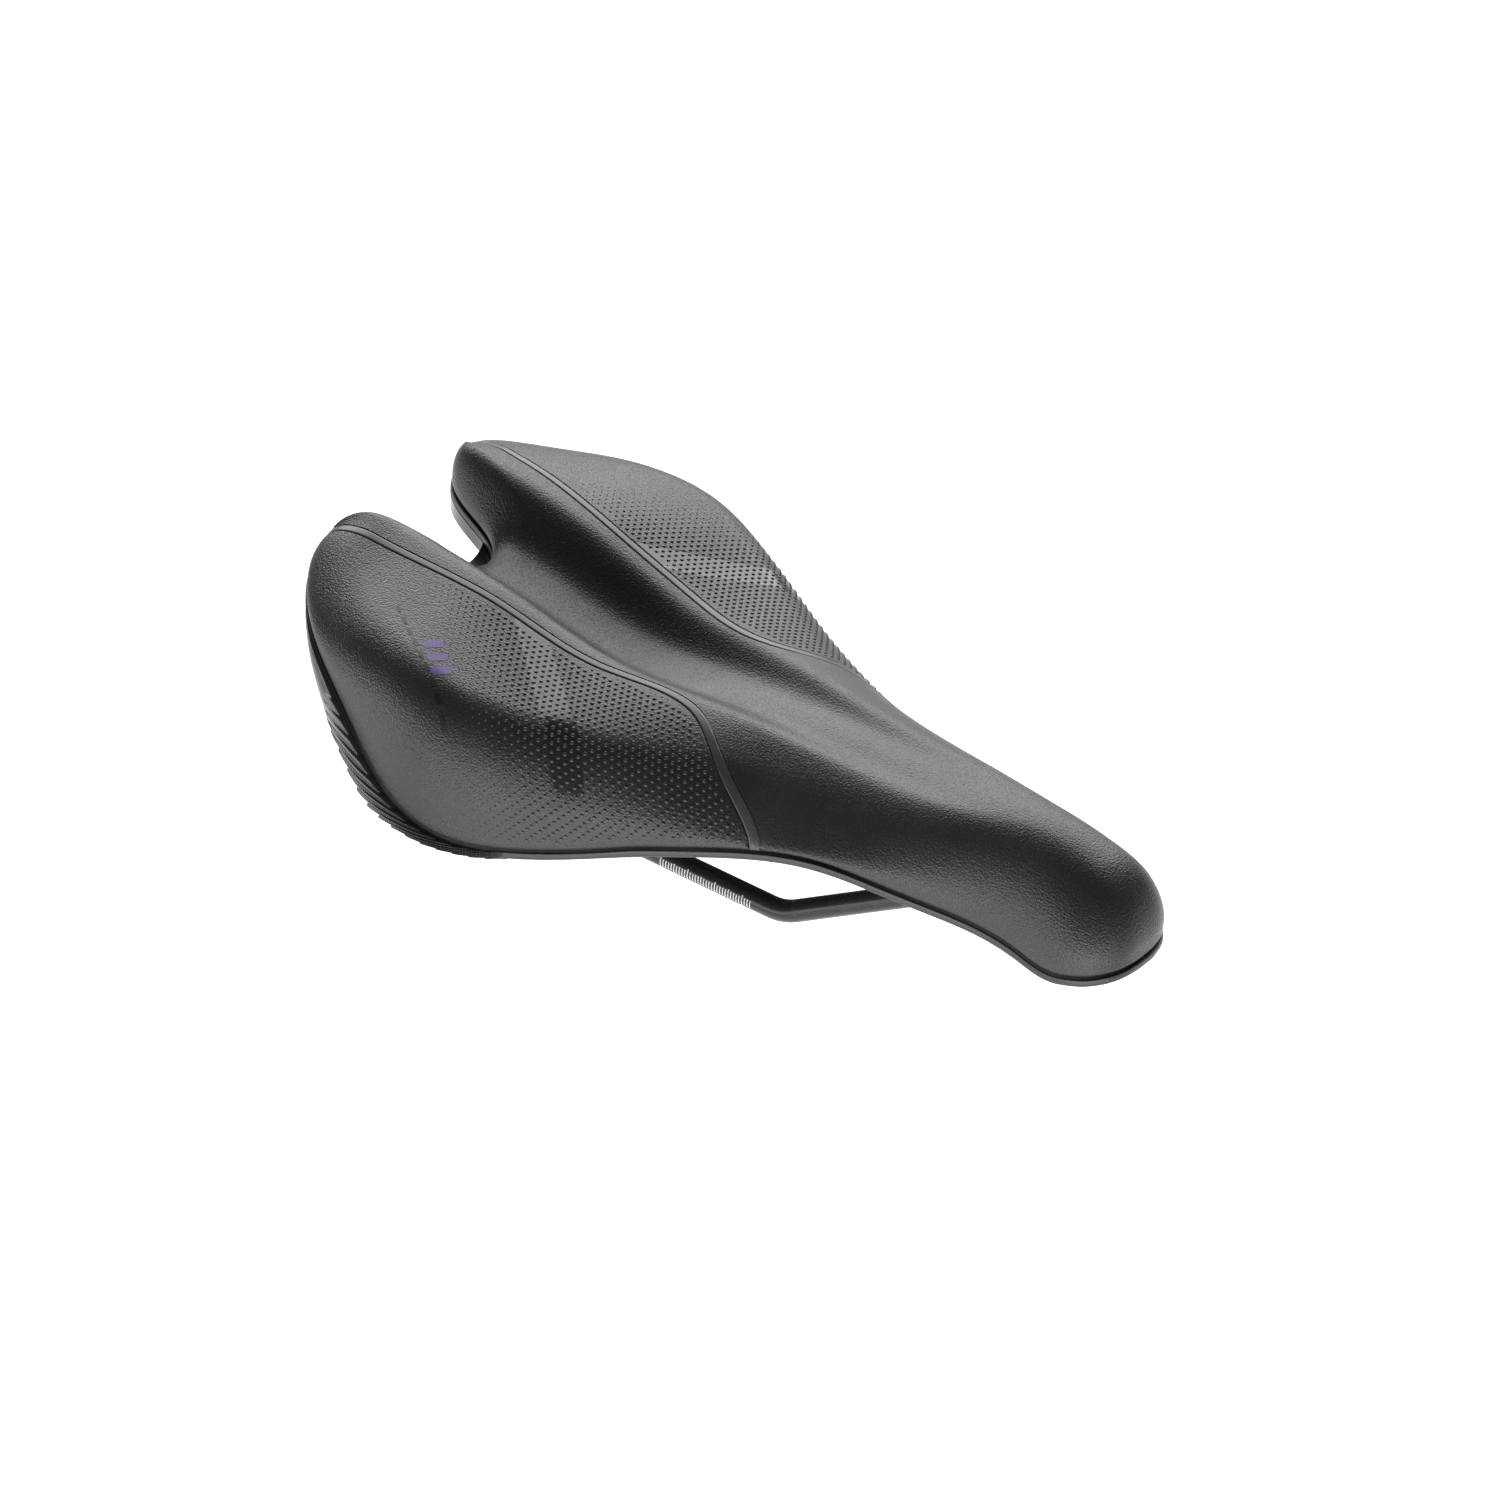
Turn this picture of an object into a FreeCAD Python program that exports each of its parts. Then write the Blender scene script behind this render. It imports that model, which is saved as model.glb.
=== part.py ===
import FreeCAD, Part
import math
import os

from FreeCAD import Vector

# Bicycle saddle, in millimetres.
# +X runs to the nose, +Y to the rider's left, +Z up. The origin is the centre of the seatpost
# clamp, midway between the rails at the height of their centre lines.

# Overall sizes
NOSE_X = 158.0              # tip of the nose, forward of the clamp centre
REAR_X = -119.0             # rear tips of the wings
HALF_WIDTH = 80.0           # half of the widest place
WIDEST_X = -48.0
NOSE_HALF_WIDTH = 19.5
NOSE_CORNER = 15.0          # rounding of the nose in plan
WING_TIP_Y = 34.0           # middle of a rear tip, out from the centre plane
NOTCH_X = -84.0             # bottom of the notch between the rear wings
NOTCH_HALF_WIDTH = 9.5

# Heights above the rail centre lines
SIT_HEIGHT = 58.0           # top of the cover over the clamp
REAR_RISE = 22.5            # how much higher the rear tips are
NOSE_HEIGHT = 55.5
NOSE_ROLL = 9.0             # how far the crest falls to the nose tip
WING_EDGE = 17.0            # lower edge of the cover at its lowest, beside the thighs
ARCH_EDGE = 34.0            # the same edge where it arches over the rails
NOSE_EDGE = 23.5
REAR_EDGE = 60.5

# Rounding of the cover
SHOULDER_RADIUS = 17.0      # how far in from the edge the side wall starts to fall
SHOULDER_SHARE = 0.72       # share of the side's height that the rounding takes
CHANNEL_DEPTH = 14.0        # relief channel at the notch, fading out at the nose
CHANNEL_HALF_WIDTH = 17.0
CHANNEL_FADE_X = 118.0

# Skins and pads
COVER_THICKNESS = 1.8
COVER_SHELL_GAP = 0.6       # shadow gap between the cover's edge and the shell's rim
BAND_WIDTH = 3.0            # raised band along the seam
FOAM_AT_SIT = 23.0
FOAM_AT_NOSE = 16.0
FOAM_AT_REAR = 19.0
GEL_LENGTH = 64.0
GEL_WIDTH = 40.0
GEL_THICKNESS = 8.0
GEL_COVERING = 4.0          # foam left between the gel and the cover
GEL_X = -52.0
GEL_Y = 47.0
POCKET_CLEARANCE = 0.1

# Base shell
SHELL_WALL = 2.4
SKIRT_RADIUS = 22.0         # how far in from the flank the shell starts to turn down
RIB_DEPTH = 6.0
RIB_WALL = 2.2
RIB_Y = 33.0
CROSS_RIBS_X = (-62.0, -34.0, -6.0, 22.0)
WIDE_RIBS_FRONT_X = 12.0    # behind this the cross ribs reach out into the wings
RIB_END_SETBACK = 5.0
KEEL_RUN_ON = 20.0          # how far the ribs beside the window run on ahead of it
WINDOW_REAR_X = -58.0       # relief window through the shell, under the channel
WINDOW_FRONT_X = 84.0
WINDOW_HALF_WIDTH = 8.0

# Rails
RAIL_DIAMETER = 7.0
RAIL_SPACING = 44.0         # between centre lines in the clamp zone
CLAMP_REAR_X = -38.0        # where the straight clamp zone would meet the rear arm
CLAMP_FRONT_X = 48.0
BEND_RADIUS = 17.0
REAR_BEND_RADIUS = 28.0
NECK_SETBACK = 66.0         # front arm's upper bend, behind the nose tip
NECK_Y = 13.0
NECK_HEIGHT = 23.0
RAIL_NOSE_SETBACK = 28.0    # front ends of the rails, behind the nose tip
RAIL_NOSE_Y = 9.5
RAIL_REAR_SETBACK = 25.0    # rear ends of the rails, ahead of the rear tips
RAIL_REAR_Y = 33.0
RAIL_SEAT_CLEARANCE = 0.05
RAIL_REAR_HEADROOM = 1.0    # between a rear bush and the shell above it
RAIL_NOSE_HEADROOM = 2.5    # between a rail's front end and the shell above it

# Rear sockets
BUSH_WALL = 2.0
BUSH_LENGTH = 14.0
BOSS_WALL = 3.0
COLLAR_THICKNESS = 3.0
COLLAR_WALL = 2.6
EAR_REACH = 12.0            # collar screw, off the rail's centre line
EAR_WALL = 1.0              # round the head of the collar screw
EAR_ROOT = 2.0              # how far a socket's ear runs on behind its bush
WEB_HALF_HEIGHT = 2.0       # web between a socket and its ear
COLLAR_WEB_HALF_HEIGHT = 2.6
BOSS_ROOT = 4.0             # how far a socket's boss runs on behind its bush
SOCKET_RIB_ROOT = 2.0       # rib that carries a socket up to the shell
SOCKET_RIB_MARGIN = 3.0
OVERCUT = 1.0               # cutting tools run this far past the faces they cut

# Nose socket
SEAT_LENGTH = 24.0
SEAT_SIDE_WALL = 3.0
SEAT_LIP = 2.0              # how far the seat runs on past the rails' front ends
CLIP_END_INSET = 1.0        # the clip is shorter and narrower than its seat
CLIP_SIDE_INSET = 0.5
CLIP_CORNER = 4.0
CLIP_THICKNESS = 6.5
CLIP_GAP = 0.4
CLIP_SCREW_SPACING = 14.0

# Corner bumpers and rear yoke
BUMPER_REAR_X = -112.0
BUMPER_FRONT_X = -36.0
BUMPER_DEPTH = 10.0         # at its deepest
BUMPER_TIP_DEPTH = 1.2      # at both ends
BUMPER_WIDTH = 6.5
BUMPER_STAND_OUT = 2.0
BUMPER_CLEARANCE = 6.0      # across the wing tip, between the yoke's line and the bumper
BUMPER_SCREWS = (0.25, 0.75)
YOKE_DEPTH = 4.5
YOKE_WIDTH = 4.0
YOKE_STAND_OUT = 0.4
YOKE_TIP_SETBACK = 4.0      # the yoke ends this far inward of the wing tips
YOKE_REAR_SETBACK = 2.0
BRIDGE_REACH = 11.0         # how far the bridge stands out behind the notch
BRIDGE_HOLLOW = 26.0        # radius of its rear edge

# Screws
SCREW_HEAD_DIAMETER = 5.2
SCREW_HEAD_HEIGHT = 1.8
SCREW_SHANK_DIAMETER = 2.8
SCREW_LENGTH = 7.5
HEAD_ROUNDING = 0.45        # share of the head's height
SOCKET_ACROSS = 2.0
SOCKET_DEPTH = 1.1

# Working limits for cutting tools, well clear of the saddle
FAR = 260.0
HEADROOM = 65.0             # taller than any gap between a rail and the shell
EDGE_MATCH = 0.001
GUIDE_MARGIN = 1.0          # surfaces reach this far past the flank before they are trimmed
LENGTH = NOSE_X - REAR_X
RAIL_RADIUS = RAIL_DIAMETER / 2
UP = Vector(0, 0, 1)


SIDES = ((1, "left"), (-1, "right"))


def along(share):
    """X at a share of the length, from the rear tips to the nose tip."""
    return REAR_X + share * LENGTH


def profile(points):
    """Smooth function through (x, value) points, straight beyond its ends."""
    xs = [x for x, _ in points]
    values = [value for _, value in points]
    last = len(points) - 1
    slopes = []
    for i in range(last + 1):
        a = max(i - 1, 0)
        b = min(i + 1, last)
        slopes.append((values[b] - values[a]) / (xs[b] - xs[a]))

    def evaluate(x):
        if x <= xs[0]:
            return values[0] + slopes[0] * (x - xs[0])
        if x >= xs[last]:
            return values[last] + slopes[last] * (x - xs[last])
        i = max(k for k in range(last) if xs[k] <= x)
        span = xs[i + 1] - xs[i]
        t = (x - xs[i]) / span
        start = (1 + 2 * t) * (1 - t) ** 2 * values[i] + t * (1 - t) ** 2 * span * slopes[i]
        end = t * t * (3 - 2 * t) * values[i + 1] + t * t * (t - 1) * span * slopes[i + 1]
        return start + end

    return evaluate


# Height of the cover's crest, and of its lower edge, along the saddle
crest = profile([
    (along(0.00), SIT_HEIGHT + REAR_RISE),
    (along(0.19), SIT_HEIGHT + 0.5 * REAR_RISE),
    (along(0.35), SIT_HEIGHT),
    (along(0.53), SIT_HEIGHT + 0.4),
    (along(0.71), NOSE_HEIGHT),
    (along(0.88), NOSE_HEIGHT),
    (along(1.00), NOSE_HEIGHT - NOSE_ROLL),
])
edge = profile([
    (along(0.00), REAR_EDGE),
    (along(0.12), 0.72 * REAR_EDGE + 0.28 * WING_EDGE),
    (along(0.24), 0.12 * REAR_EDGE + 0.88 * WING_EDGE),
    (along(0.35), WING_EDGE),
    (along(0.50), 0.5 * (WING_EDGE + ARCH_EDGE)),
    (along(0.67), ARCH_EDGE),
    (along(0.86), NOSE_EDGE),
    (along(1.00), NOSE_EDGE + 1.4),
])
# How far the cover falls from the crest line to its flanks, before the shoulder
crown = profile([(along(0.00), 19.0), (along(0.19), 5.0), (along(0.35), 3.0),
                 (along(0.57), 17.0), (along(0.78), 8.5), (along(1.00), 8.0)])
foam_depth = profile([(along(0.00), FOAM_AT_REAR), (along(0.35), FOAM_AT_SIT),
                      (along(0.80), FOAM_AT_NOSE), (along(1.00), FOAM_AT_NOSE - 3.0)])


def flank_points():
    """Outer edge from the nose's side to the wing's rear corner, as (x, y)."""
    spread = HALF_WIDTH - NOSE_HALF_WIDTH
    front = NOSE_X - WIDEST_X
    rear = WIDEST_X - REAR_X
    return [
        (WIDEST_X + 0.855 * front, NOSE_HALF_WIDTH + 0.02 * spread),
        (WIDEST_X + 0.645 * front, NOSE_HALF_WIDTH + 0.175 * spread),
        (WIDEST_X + 0.450 * front, NOSE_HALF_WIDTH + 0.370 * spread),
        (WIDEST_X + 0.285 * front, NOSE_HALF_WIDTH + 0.600 * spread),
        (WIDEST_X + 0.125 * front, NOSE_HALF_WIDTH + 0.875 * spread),
        (WIDEST_X, HALF_WIDTH),
        (WIDEST_X - 0.34 * rear, 0.955 * HALF_WIDTH),
        (WIDEST_X - 0.69 * rear, 0.815 * HALF_WIDTH),
    ]


def half_outline():
    """Left half of the cover's plan outline, from the nose tip to the notch, as (x, y)."""
    nose = [
        (NOSE_X, 0.0),
        (NOSE_X - 1.8, 0.60 * NOSE_HALF_WIDTH),
        (NOSE_X - 7.5, 0.95 * NOSE_HALF_WIDTH),
    ]
    wing_tip = [
        (REAR_X + 6.0, 0.5 * (WING_TIP_Y + 0.815 * HALF_WIDTH)),
        (REAR_X, WING_TIP_Y),
        (REAR_X + 4.0, 0.66 * WING_TIP_Y),
        (0.5 * (REAR_X + NOTCH_X), NOTCH_HALF_WIDTH + 0.22 * WING_TIP_Y - 2.0),
        (NOTCH_X - 5.0, NOTCH_HALF_WIDTH),
        (NOTCH_X, 0.0),
    ]
    return nose + flank_points() + wing_tip


def outline_curve(grow=0.0):
    """Closed plan curve of the cover, moved outwards by grow."""
    left = half_outline()
    right = [(x, -y) for x, y in reversed(left[1:-1])]
    points = [Vector(x, y, 0) for x, y in left + right]
    curve = Part.BSplineCurve()
    curve.interpolate(Points=points, PeriodicFlag=True)
    if grow == 0.0:
        return curve
    moved = []
    for point in points:
        at = curve.parameter(point)
        tangent = curve.tangent(at)[0]
        moved.append(point + Vector(tangent.y, -tangent.x, 0) * grow)
    shifted = Part.BSplineCurve()
    shifted.interpolate(Points=moved, PeriodicFlag=True)
    return shifted


def column(wire):
    """Tall solid standing on a flat closed wire."""
    face = Part.Face(wire)
    face.translate(UP * -FAR)
    return face.extrude(UP * (2 * FAR))


def outline_column(grow=0.0):
    return column(Part.Wire(outline_curve(grow).toShape()))


def box(low, high):
    """Upright box between two corners."""
    size = [h - l for l, h in zip(low, high)]
    return Part.makeBox(*size, Vector(*low))


# Guide for the surfaces: the half width of the saddle, carried past its rounded ends
guide = profile(sorted([(x, y + GUIDE_MARGIN) for x, y in flank_points()] +
                       [(NOSE_X, NOSE_HALF_WIDTH + GUIDE_MARGIN), (REAR_X, 0.78 * HALF_WIDTH)]))


def edge_distance(x, y):
    """How far a point is in from the flank or the rounded nose."""
    ahead = x - NOSE_X + NOSE_CORNER
    outward = abs(y) - guide(x) + GUIDE_MARGIN + NOSE_CORNER
    corner = math.hypot(max(ahead, 0.0), max(outward, 0.0))
    return NOSE_CORNER - corner - min(max(ahead, outward), 0.0)


def channel(x, y):
    """Depth of the relief channel."""
    if x > CHANNEL_FADE_X:
        return 0.0
    run = (CHANNEL_FADE_X - x) / (CHANNEL_FADE_X - NOTCH_X)
    deep = CHANNEL_DEPTH * min(run, 1.0) ** 1.2
    wide = CHANNEL_HALF_WIDTH * (0.55 + 0.45 * min(run, 1.0))
    return deep * math.exp(-(y / wide) ** 4)


def top_height(x, y):
    """Height of the cover's outer surface."""
    share = y / guide(x)
    plain = crest(x) - crown(x) * share ** 2 - channel(x, y)
    inside = max(0.0, 1.0 - edge_distance(x, y) / SHOULDER_RADIUS)
    return plain - SHOULDER_SHARE * (plain - edge(x)) * inside ** 2.4


def shell_height(x, y):
    """Height of the shell's upper surface, level with the cover's lower edge at the flanks."""
    middle = crest(x) - foam_depth(x)
    rim = edge(x) - COVER_SHELL_GAP
    outward = min(max(0.0, 1.0 - edge_distance(x, y) / SKIRT_RADIUS), 1.2)
    return middle - (middle - rim) * outward ** 2


STATIONS = [-0.02, 0.0, 0.03, 0.07, 0.12, 0.17, 0.23, 0.30, 0.37, 0.44, 0.51, 0.58, 0.65, 0.72,
            0.79, 0.85, 0.90, 0.935, 0.96, 0.98, 1.0, 1.012]
LANES = [0.0, 0.09, 0.18, 0.28, 0.40, 0.54, 0.68, 0.78, 0.86, 0.92, 0.97, 1.02, 1.08]


def height_face(height, drop=0.0):
    """Face through a grid of heights that covers the whole plan."""
    lanes = [-lane for lane in reversed(LANES[1:])] + LANES
    rows = []
    for share in STATIONS:
        x = along(share)
        ys = [lane * (guide(x) + 3.0) for lane in lanes]
        rows.append([Vector(x, y, height(x, y) - drop) for y in ys])
    surface = Part.BSplineSurface()
    surface.interpolate(rows)
    return surface.toShape()


def below(height, drop=0.0):
    """Everything under a height surface."""
    return height_face(height, drop).extrude(UP * -FAR)


def above(height, drop=0.0):
    """Everything over a height surface."""
    return height_face(height, drop).extrude(UP * FAR)


def seam_points():
    """Middle of the left seam band, from behind the rear tip to outside the flank."""
    turn_x = NOSE_X - 0.60 * (NOSE_X - WIDEST_X)
    return [
        (REAR_X - 8.0, WING_TIP_Y - 0.5),
        (REAR_X + 9.0, WING_TIP_Y - 0.8),
        (REAR_X + 31.0, WING_TIP_Y - 1.8),
        (WIDEST_X - 10.0, 0.35 * HALF_WIDTH),
        (WIDEST_X + 24.0, 0.305 * HALF_WIDTH),
        (turn_x - 34.0, 0.255 * HALF_WIDTH),
        (turn_x - 22.0, 0.285 * HALF_WIDTH),
        (turn_x - 4.0, 0.42 * HALF_WIDTH),
        (turn_x + 16.0, guide(turn_x + 16.0) + 1.0),
        (turn_x + 24.0, guide(turn_x + 16.0) + 10.0),
    ]


def mirrored(shape):
    """The right-hand copy of a left-hand shape."""
    return shape.mirror(Vector(0, 0, 0), Vector(0, 1, 0))


def outside_seam(offset):
    """Column over the plan outboard of the left seam, moved outwards by offset."""
    points = [Vector(x, y, 0) for x, y in seam_points()]
    curve = Part.BSplineCurve()
    curve.interpolate(points)
    moved = []
    for point in points:
        tangent = curve.tangent(curve.parameter(point))[0]
        moved.append(point + Vector(-tangent.y, tangent.x, 0) * offset)
    seam = Part.BSplineCurve()
    seam.interpolate(moved)
    start = moved[0]
    end = moved[-1]
    around = [end, Vector(end.x, FAR, 0), Vector(start.x, FAR, 0), start]
    edges = [seam.toShape()]
    for a, b in zip(around, around[1:]):
        edges.append(Part.LineSegment(a, b).toShape())
    return column(Part.Wire(edges))


def whole_cover():
    """The cover before it is parted at its seams: a cap with a closed side wall."""
    outer = outline_column().common(below(top_height)).common(above(shell_height, -COVER_SHELL_GAP))
    return outer.cut(inner_space())


def inner_space():
    """Room inside the cover, over the shell."""
    room = outline_column(-COVER_THICKNESS).common(below(top_height, COVER_THICKNESS))
    return room.common(above(shell_height))


def largest(shape):
    """The biggest solid of a shape."""
    return max(shape.Solids, key=lambda solid: solid.Volume)


def cover_pieces():
    """Centre cover, side panels and seam bands."""
    cover = whole_cover()
    outboard = outside_seam(BAND_WIDTH / 2)
    wide = outside_seam(-BAND_WIDTH / 2)
    panel = largest(cover.common(outboard))
    band = largest(cover.common(wide.cut(outboard)))
    return {
        "centre_cover": largest(cover.cut([wide, mirrored(wide)])),
        "side_panel_left": panel,
        "side_panel_right": mirrored(panel),
        "seam_band_left": band,
        "seam_band_right": mirrored(band),
    }



def ellipse_column(x, y, length, width):
    """Column on an ellipse that lies along X."""
    curve = Part.Ellipse(Vector(x, y, 0), length / 2, width / 2)
    return column(Part.Wire(curve.toShape()))


def gel_insert(side, grow=0.0):
    """Lens of gel under one sit bone."""
    room = ellipse_column(GEL_X, side * GEL_Y, GEL_LENGTH + 2 * grow, GEL_WIDTH + 2 * grow)
    top = COVER_THICKNESS + GEL_COVERING
    room = room.common(below(top_height, top - grow))
    return room.common(above(top_height, top + GEL_THICKNESS + grow))


def foam_pad():
    """Foam between the shell and the cover, with a pocket for each gel insert."""
    pad = inner_space()
    for side, _ in SIDES:
        pad = pad.cut(gel_insert(side, POCKET_CLEARANCE))
    return largest(pad)


def rail_points(side):
    """Corners of one rail's centre line, from the rear end to the nose end."""
    rear_x = REAR_X + RAIL_REAR_SETBACK
    rear_z = shell_height(rear_x, RAIL_REAR_Y) - SHELL_WALL - RAIL_RADIUS - BUSH_WALL - RAIL_REAR_HEADROOM
    nose_x = NOSE_X - RAIL_NOSE_SETBACK
    nose_z = shell_height(nose_x, RAIL_NOSE_Y) - SHELL_WALL - RAIL_RADIUS - RAIL_NOSE_HEADROOM
    middle_y = RAIL_SPACING / 2
    return [
        Vector(rear_x, side * RAIL_REAR_Y, rear_z),
        Vector(CLAMP_REAR_X, side * middle_y, 0),
        Vector(CLAMP_FRONT_X, side * middle_y, 0),
        Vector(NOSE_X - NECK_SETBACK, side * NECK_Y, NECK_HEIGHT),
        Vector(nose_x, side * RAIL_NOSE_Y, nose_z),
    ]


def rod(points, radii, radius):
    """Round bar along straight runs joined by tangent bends."""
    pieces = []
    start = points[0]
    for corner, after, bend in zip(points[1:-1], points[2:], radii):
        inward = (corner - start).normalize()
        onward = (after - corner).normalize()
        turn = inward.getAngle(onward)
        reach = bend * math.tan(turn / 2)
        enter = corner - inward * reach
        pieces.append(Part.makeCylinder(radius, (enter - start).Length, start, inward))
        axis = inward.cross(onward).normalize()
        centre = enter + axis.cross(inward) * bend
        disc = Part.Face(Part.Wire(Part.Circle(enter, inward, radius).toShape()))
        pieces.append(disc.revolve(centre, axis, math.degrees(turn)))
        start = corner + onward * reach
    run = points[-1] - start
    pieces.append(Part.makeCylinder(radius, run.Length, start, run))
    return pieces[0].multiFuse(pieces[1:])


def rail(side, grow=0.0):
    """One rail of round steel bar."""
    bends = (REAR_BEND_RADIUS, BEND_RADIUS, BEND_RADIUS * 1.5)
    return rod(rail_points(side), bends, RAIL_RADIUS + grow)


def rear_frame(side):
    """Rear end of a rail, and the direction from it along the rail."""
    end, corner = rail_points(side)[:2]
    return end, (corner - end).normalize()


def rear_cylinder(side, radius, start, length):
    """Cylinder on the rear end of a rail, starting a distance along it."""
    end, direction = rear_frame(side)
    return Part.makeCylinder(radius, length, end + direction * start, direction)


def rail_bush(side):
    """Rubber sleeve between a rail's rear end and its socket."""
    outer = rear_cylinder(side, RAIL_RADIUS + BUSH_WALL, 0.0, BUSH_LENGTH)
    return outer.cut(rear_cylinder(side, RAIL_RADIUS, -OVERCUT, BUSH_LENGTH + 2 * OVERCUT))


def boss_radius():
    return RAIL_RADIUS + BUSH_WALL + BOSS_WALL


def ear_radius():
    return SCREW_HEAD_DIAMETER / 2 + EAR_WALL


def ear_point(side, start):
    """Point on the collar screw's line, beside the rail on its inner side."""
    end, direction = rear_frame(side)
    across = direction.cross(UP).normalize() * -side
    return end + direction * start + across * -EAR_REACH, direction


def ear_cylinder(side, radius, start, length):
    point, direction = ear_point(side, start)
    return Part.makeCylinder(radius, length, point, direction)


def ear_web(side, start, length, half_height):
    """Block that joins a collar screw's eye to the ring round the rail."""
    end, direction = rear_frame(side)
    eye, _ = ear_point(side, start)
    centre = end + direction * start
    across = (eye - centre).normalize()
    lift = direction.cross(across).normalize() * half_height
    corners = [centre - lift, eye - lift, eye + lift, centre + lift, centre - lift]
    return Part.Face(Part.makePolygon(corners)).extrude(direction * length)


def rear_socket(side):
    """Boss under the shell that holds a rail's rear end, its bush and the collar's screw."""
    boss = rear_cylinder(side, boss_radius(), -BOSS_ROOT, BUSH_LENGTH + BOSS_ROOT)
    eye = ear_cylinder(side, ear_radius(), -EAR_ROOT, BUSH_LENGTH + EAR_ROOT)
    joined = boss.multiFuse([eye, ear_web(side, -EAR_ROOT, BUSH_LENGTH + EAR_ROOT, WEB_HALF_HEIGHT)])
    end, direction = rear_frame(side)
    mouth = end + direction * BUSH_LENGTH
    low_y, high_y = sorted((end.y, mouth.y))
    low = (end.x - SOCKET_RIB_ROOT, low_y - SOCKET_RIB_MARGIN, mouth.z)
    high = (mouth.x, high_y + SOCKET_RIB_MARGIN, end.z + HEADROOM)
    rib = box(low, high).cut(rear_cylinder(side, HEADROOM, BUSH_LENGTH, HEADROOM))
    return joined.fuse(rib)


def socket_bores(side):
    """Holes in a rear socket for the bush and for the collar's screw."""
    bush = rear_cylinder(side, RAIL_RADIUS + BUSH_WALL, 0.0, BUSH_LENGTH + OVERCUT)
    screw = ear_cylinder(side, SCREW_SHANK_DIAMETER / 2, BUSH_LENGTH - SCREW_LENGTH, SCREW_LENGTH)
    return bush.fuse(screw)


def rail_collar(side):
    """Ring screwed over a rear socket's mouth to keep the bush in."""
    radius = RAIL_RADIUS + COLLAR_WALL + BUSH_WALL
    ring = rear_cylinder(side, radius, BUSH_LENGTH, COLLAR_THICKNESS)
    eye = ear_cylinder(side, ear_radius(), BUSH_LENGTH, COLLAR_THICKNESS)
    collar = ring.multiFuse([eye, ear_web(side, BUSH_LENGTH, COLLAR_THICKNESS, COLLAR_WEB_HALF_HEIGHT)])
    start = BUSH_LENGTH - OVERCUT
    length = COLLAR_THICKNESS + 2 * OVERCUT
    hole = rear_cylinder(side, RAIL_RADIUS + RAIL_SEAT_CLEARANCE, start, length)
    screw = ear_cylinder(side, SCREW_SHANK_DIAMETER / 2, start, length)
    return collar.cut(hole).cut(screw)


def screw_shape(seat, direction):
    """Button-head screw whose head sits on seat, its shank pointing along direction."""
    head = Part.makeCylinder(SCREW_HEAD_DIAMETER / 2, SCREW_HEAD_HEIGHT, seat, direction * -1)
    rim = []
    for edge_line in head.Edges:
        height = abs((edge_line.BoundBox.Center - seat).dot(direction))
        if len(edge_line.Vertexes) == 1 and abs(height - SCREW_HEAD_HEIGHT) < EDGE_MATCH:
            rim.append(edge_line)
    head = head.makeFillet(SCREW_HEAD_HEIGHT * HEAD_ROUNDING, rim)
    shank = Part.makeCylinder(SCREW_SHANK_DIAMETER / 2, SCREW_LENGTH, seat, direction)
    side_way = direction.cross(UP if abs(direction.z) < 0.9 else Vector(1, 0, 0)).normalize()
    other_way = direction.cross(side_way)
    corners = []
    top = seat - direction * SCREW_HEAD_HEIGHT
    for i in range(7):
        angle = math.radians(60 * i)
        reach = SOCKET_ACROSS / math.sqrt(3)
        corners.append(top + side_way * (reach * math.cos(angle)) + other_way * (reach * math.sin(angle)))
    recess = Part.Face(Part.makePolygon(corners)).extrude(direction * SOCKET_DEPTH)
    return head.fuse(shank).cut(recess)


def collar_screws():
    """One screw through each collar's ear into its socket."""
    screws = []
    for side, _ in SIDES:
        point, direction = ear_point(side, BUSH_LENGTH + COLLAR_THICKNESS)
        screws.append(screw_shape(point, direction * -1))
    return Part.makeCompound(screws)


def nose_seat_span():
    """Rear and front x of the seat that holds the rails' front ends."""
    front = NOSE_X - RAIL_NOSE_SETBACK
    return front - SEAT_LENGTH, front + SEAT_LIP


def clip_height():
    """Height of the joint between the nose seat and its clip."""
    rear_x, front_x = nose_seat_span()
    end = rail_points(1)[-1]
    bend = rail_points(1)[-2]
    middle = (rear_x + front_x) / 2
    share = (middle - bend.x) / (end.x - bend.x)
    return bend.z + share * (end.z - bend.z)


def nose_half_span():
    """Half the width of the nose seat."""
    return RAIL_NOSE_Y + RAIL_RADIUS + SEAT_SIDE_WALL


def nose_seat():
    """Block under the nose of the shell with a channel for each rail."""
    rear_x, front_x = nose_seat_span()
    half = nose_half_span()
    block = box((rear_x, -half, clip_height()), (front_x, half, clip_height() + HEADROOM))
    return block.common(below(shell_height))


def clip_screw_seats():
    rear_x, front_x = nose_seat_span()
    middle = (rear_x + front_x) / 2
    height = clip_height() - CLIP_GAP - CLIP_THICKNESS
    return [Vector(middle + way * CLIP_SCREW_SPACING / 2, 0, height) for way in (-1, 1)]


def nose_clip():
    """Plate screwed up under the nose seat to trap both rails."""
    rear_x, front_x = nose_seat_span()
    half = nose_half_span() - CLIP_SIDE_INSET
    top = clip_height() - CLIP_GAP
    low = (rear_x + CLIP_END_INSET, -half, top - CLIP_THICKNESS)
    plate = box(low, (front_x - CLIP_END_INSET, half, top))
    upright = [e for e in plate.Edges if abs(e.tangentAt(e.FirstParameter).z) > 0.9]
    plate = plate.makeFillet(CLIP_CORNER, upright)
    cutters = [rail(side, RAIL_SEAT_CLEARANCE) for side, _ in SIDES]
    cutters += [screw_hole(seat, CLIP_THICKNESS) for seat in clip_screw_seats()]
    return largest(plate.cut(cutters))


def nose_clip_screws():
    return Part.makeCompound([screw_shape(seat, UP) for seat in clip_screw_seats()])


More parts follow.
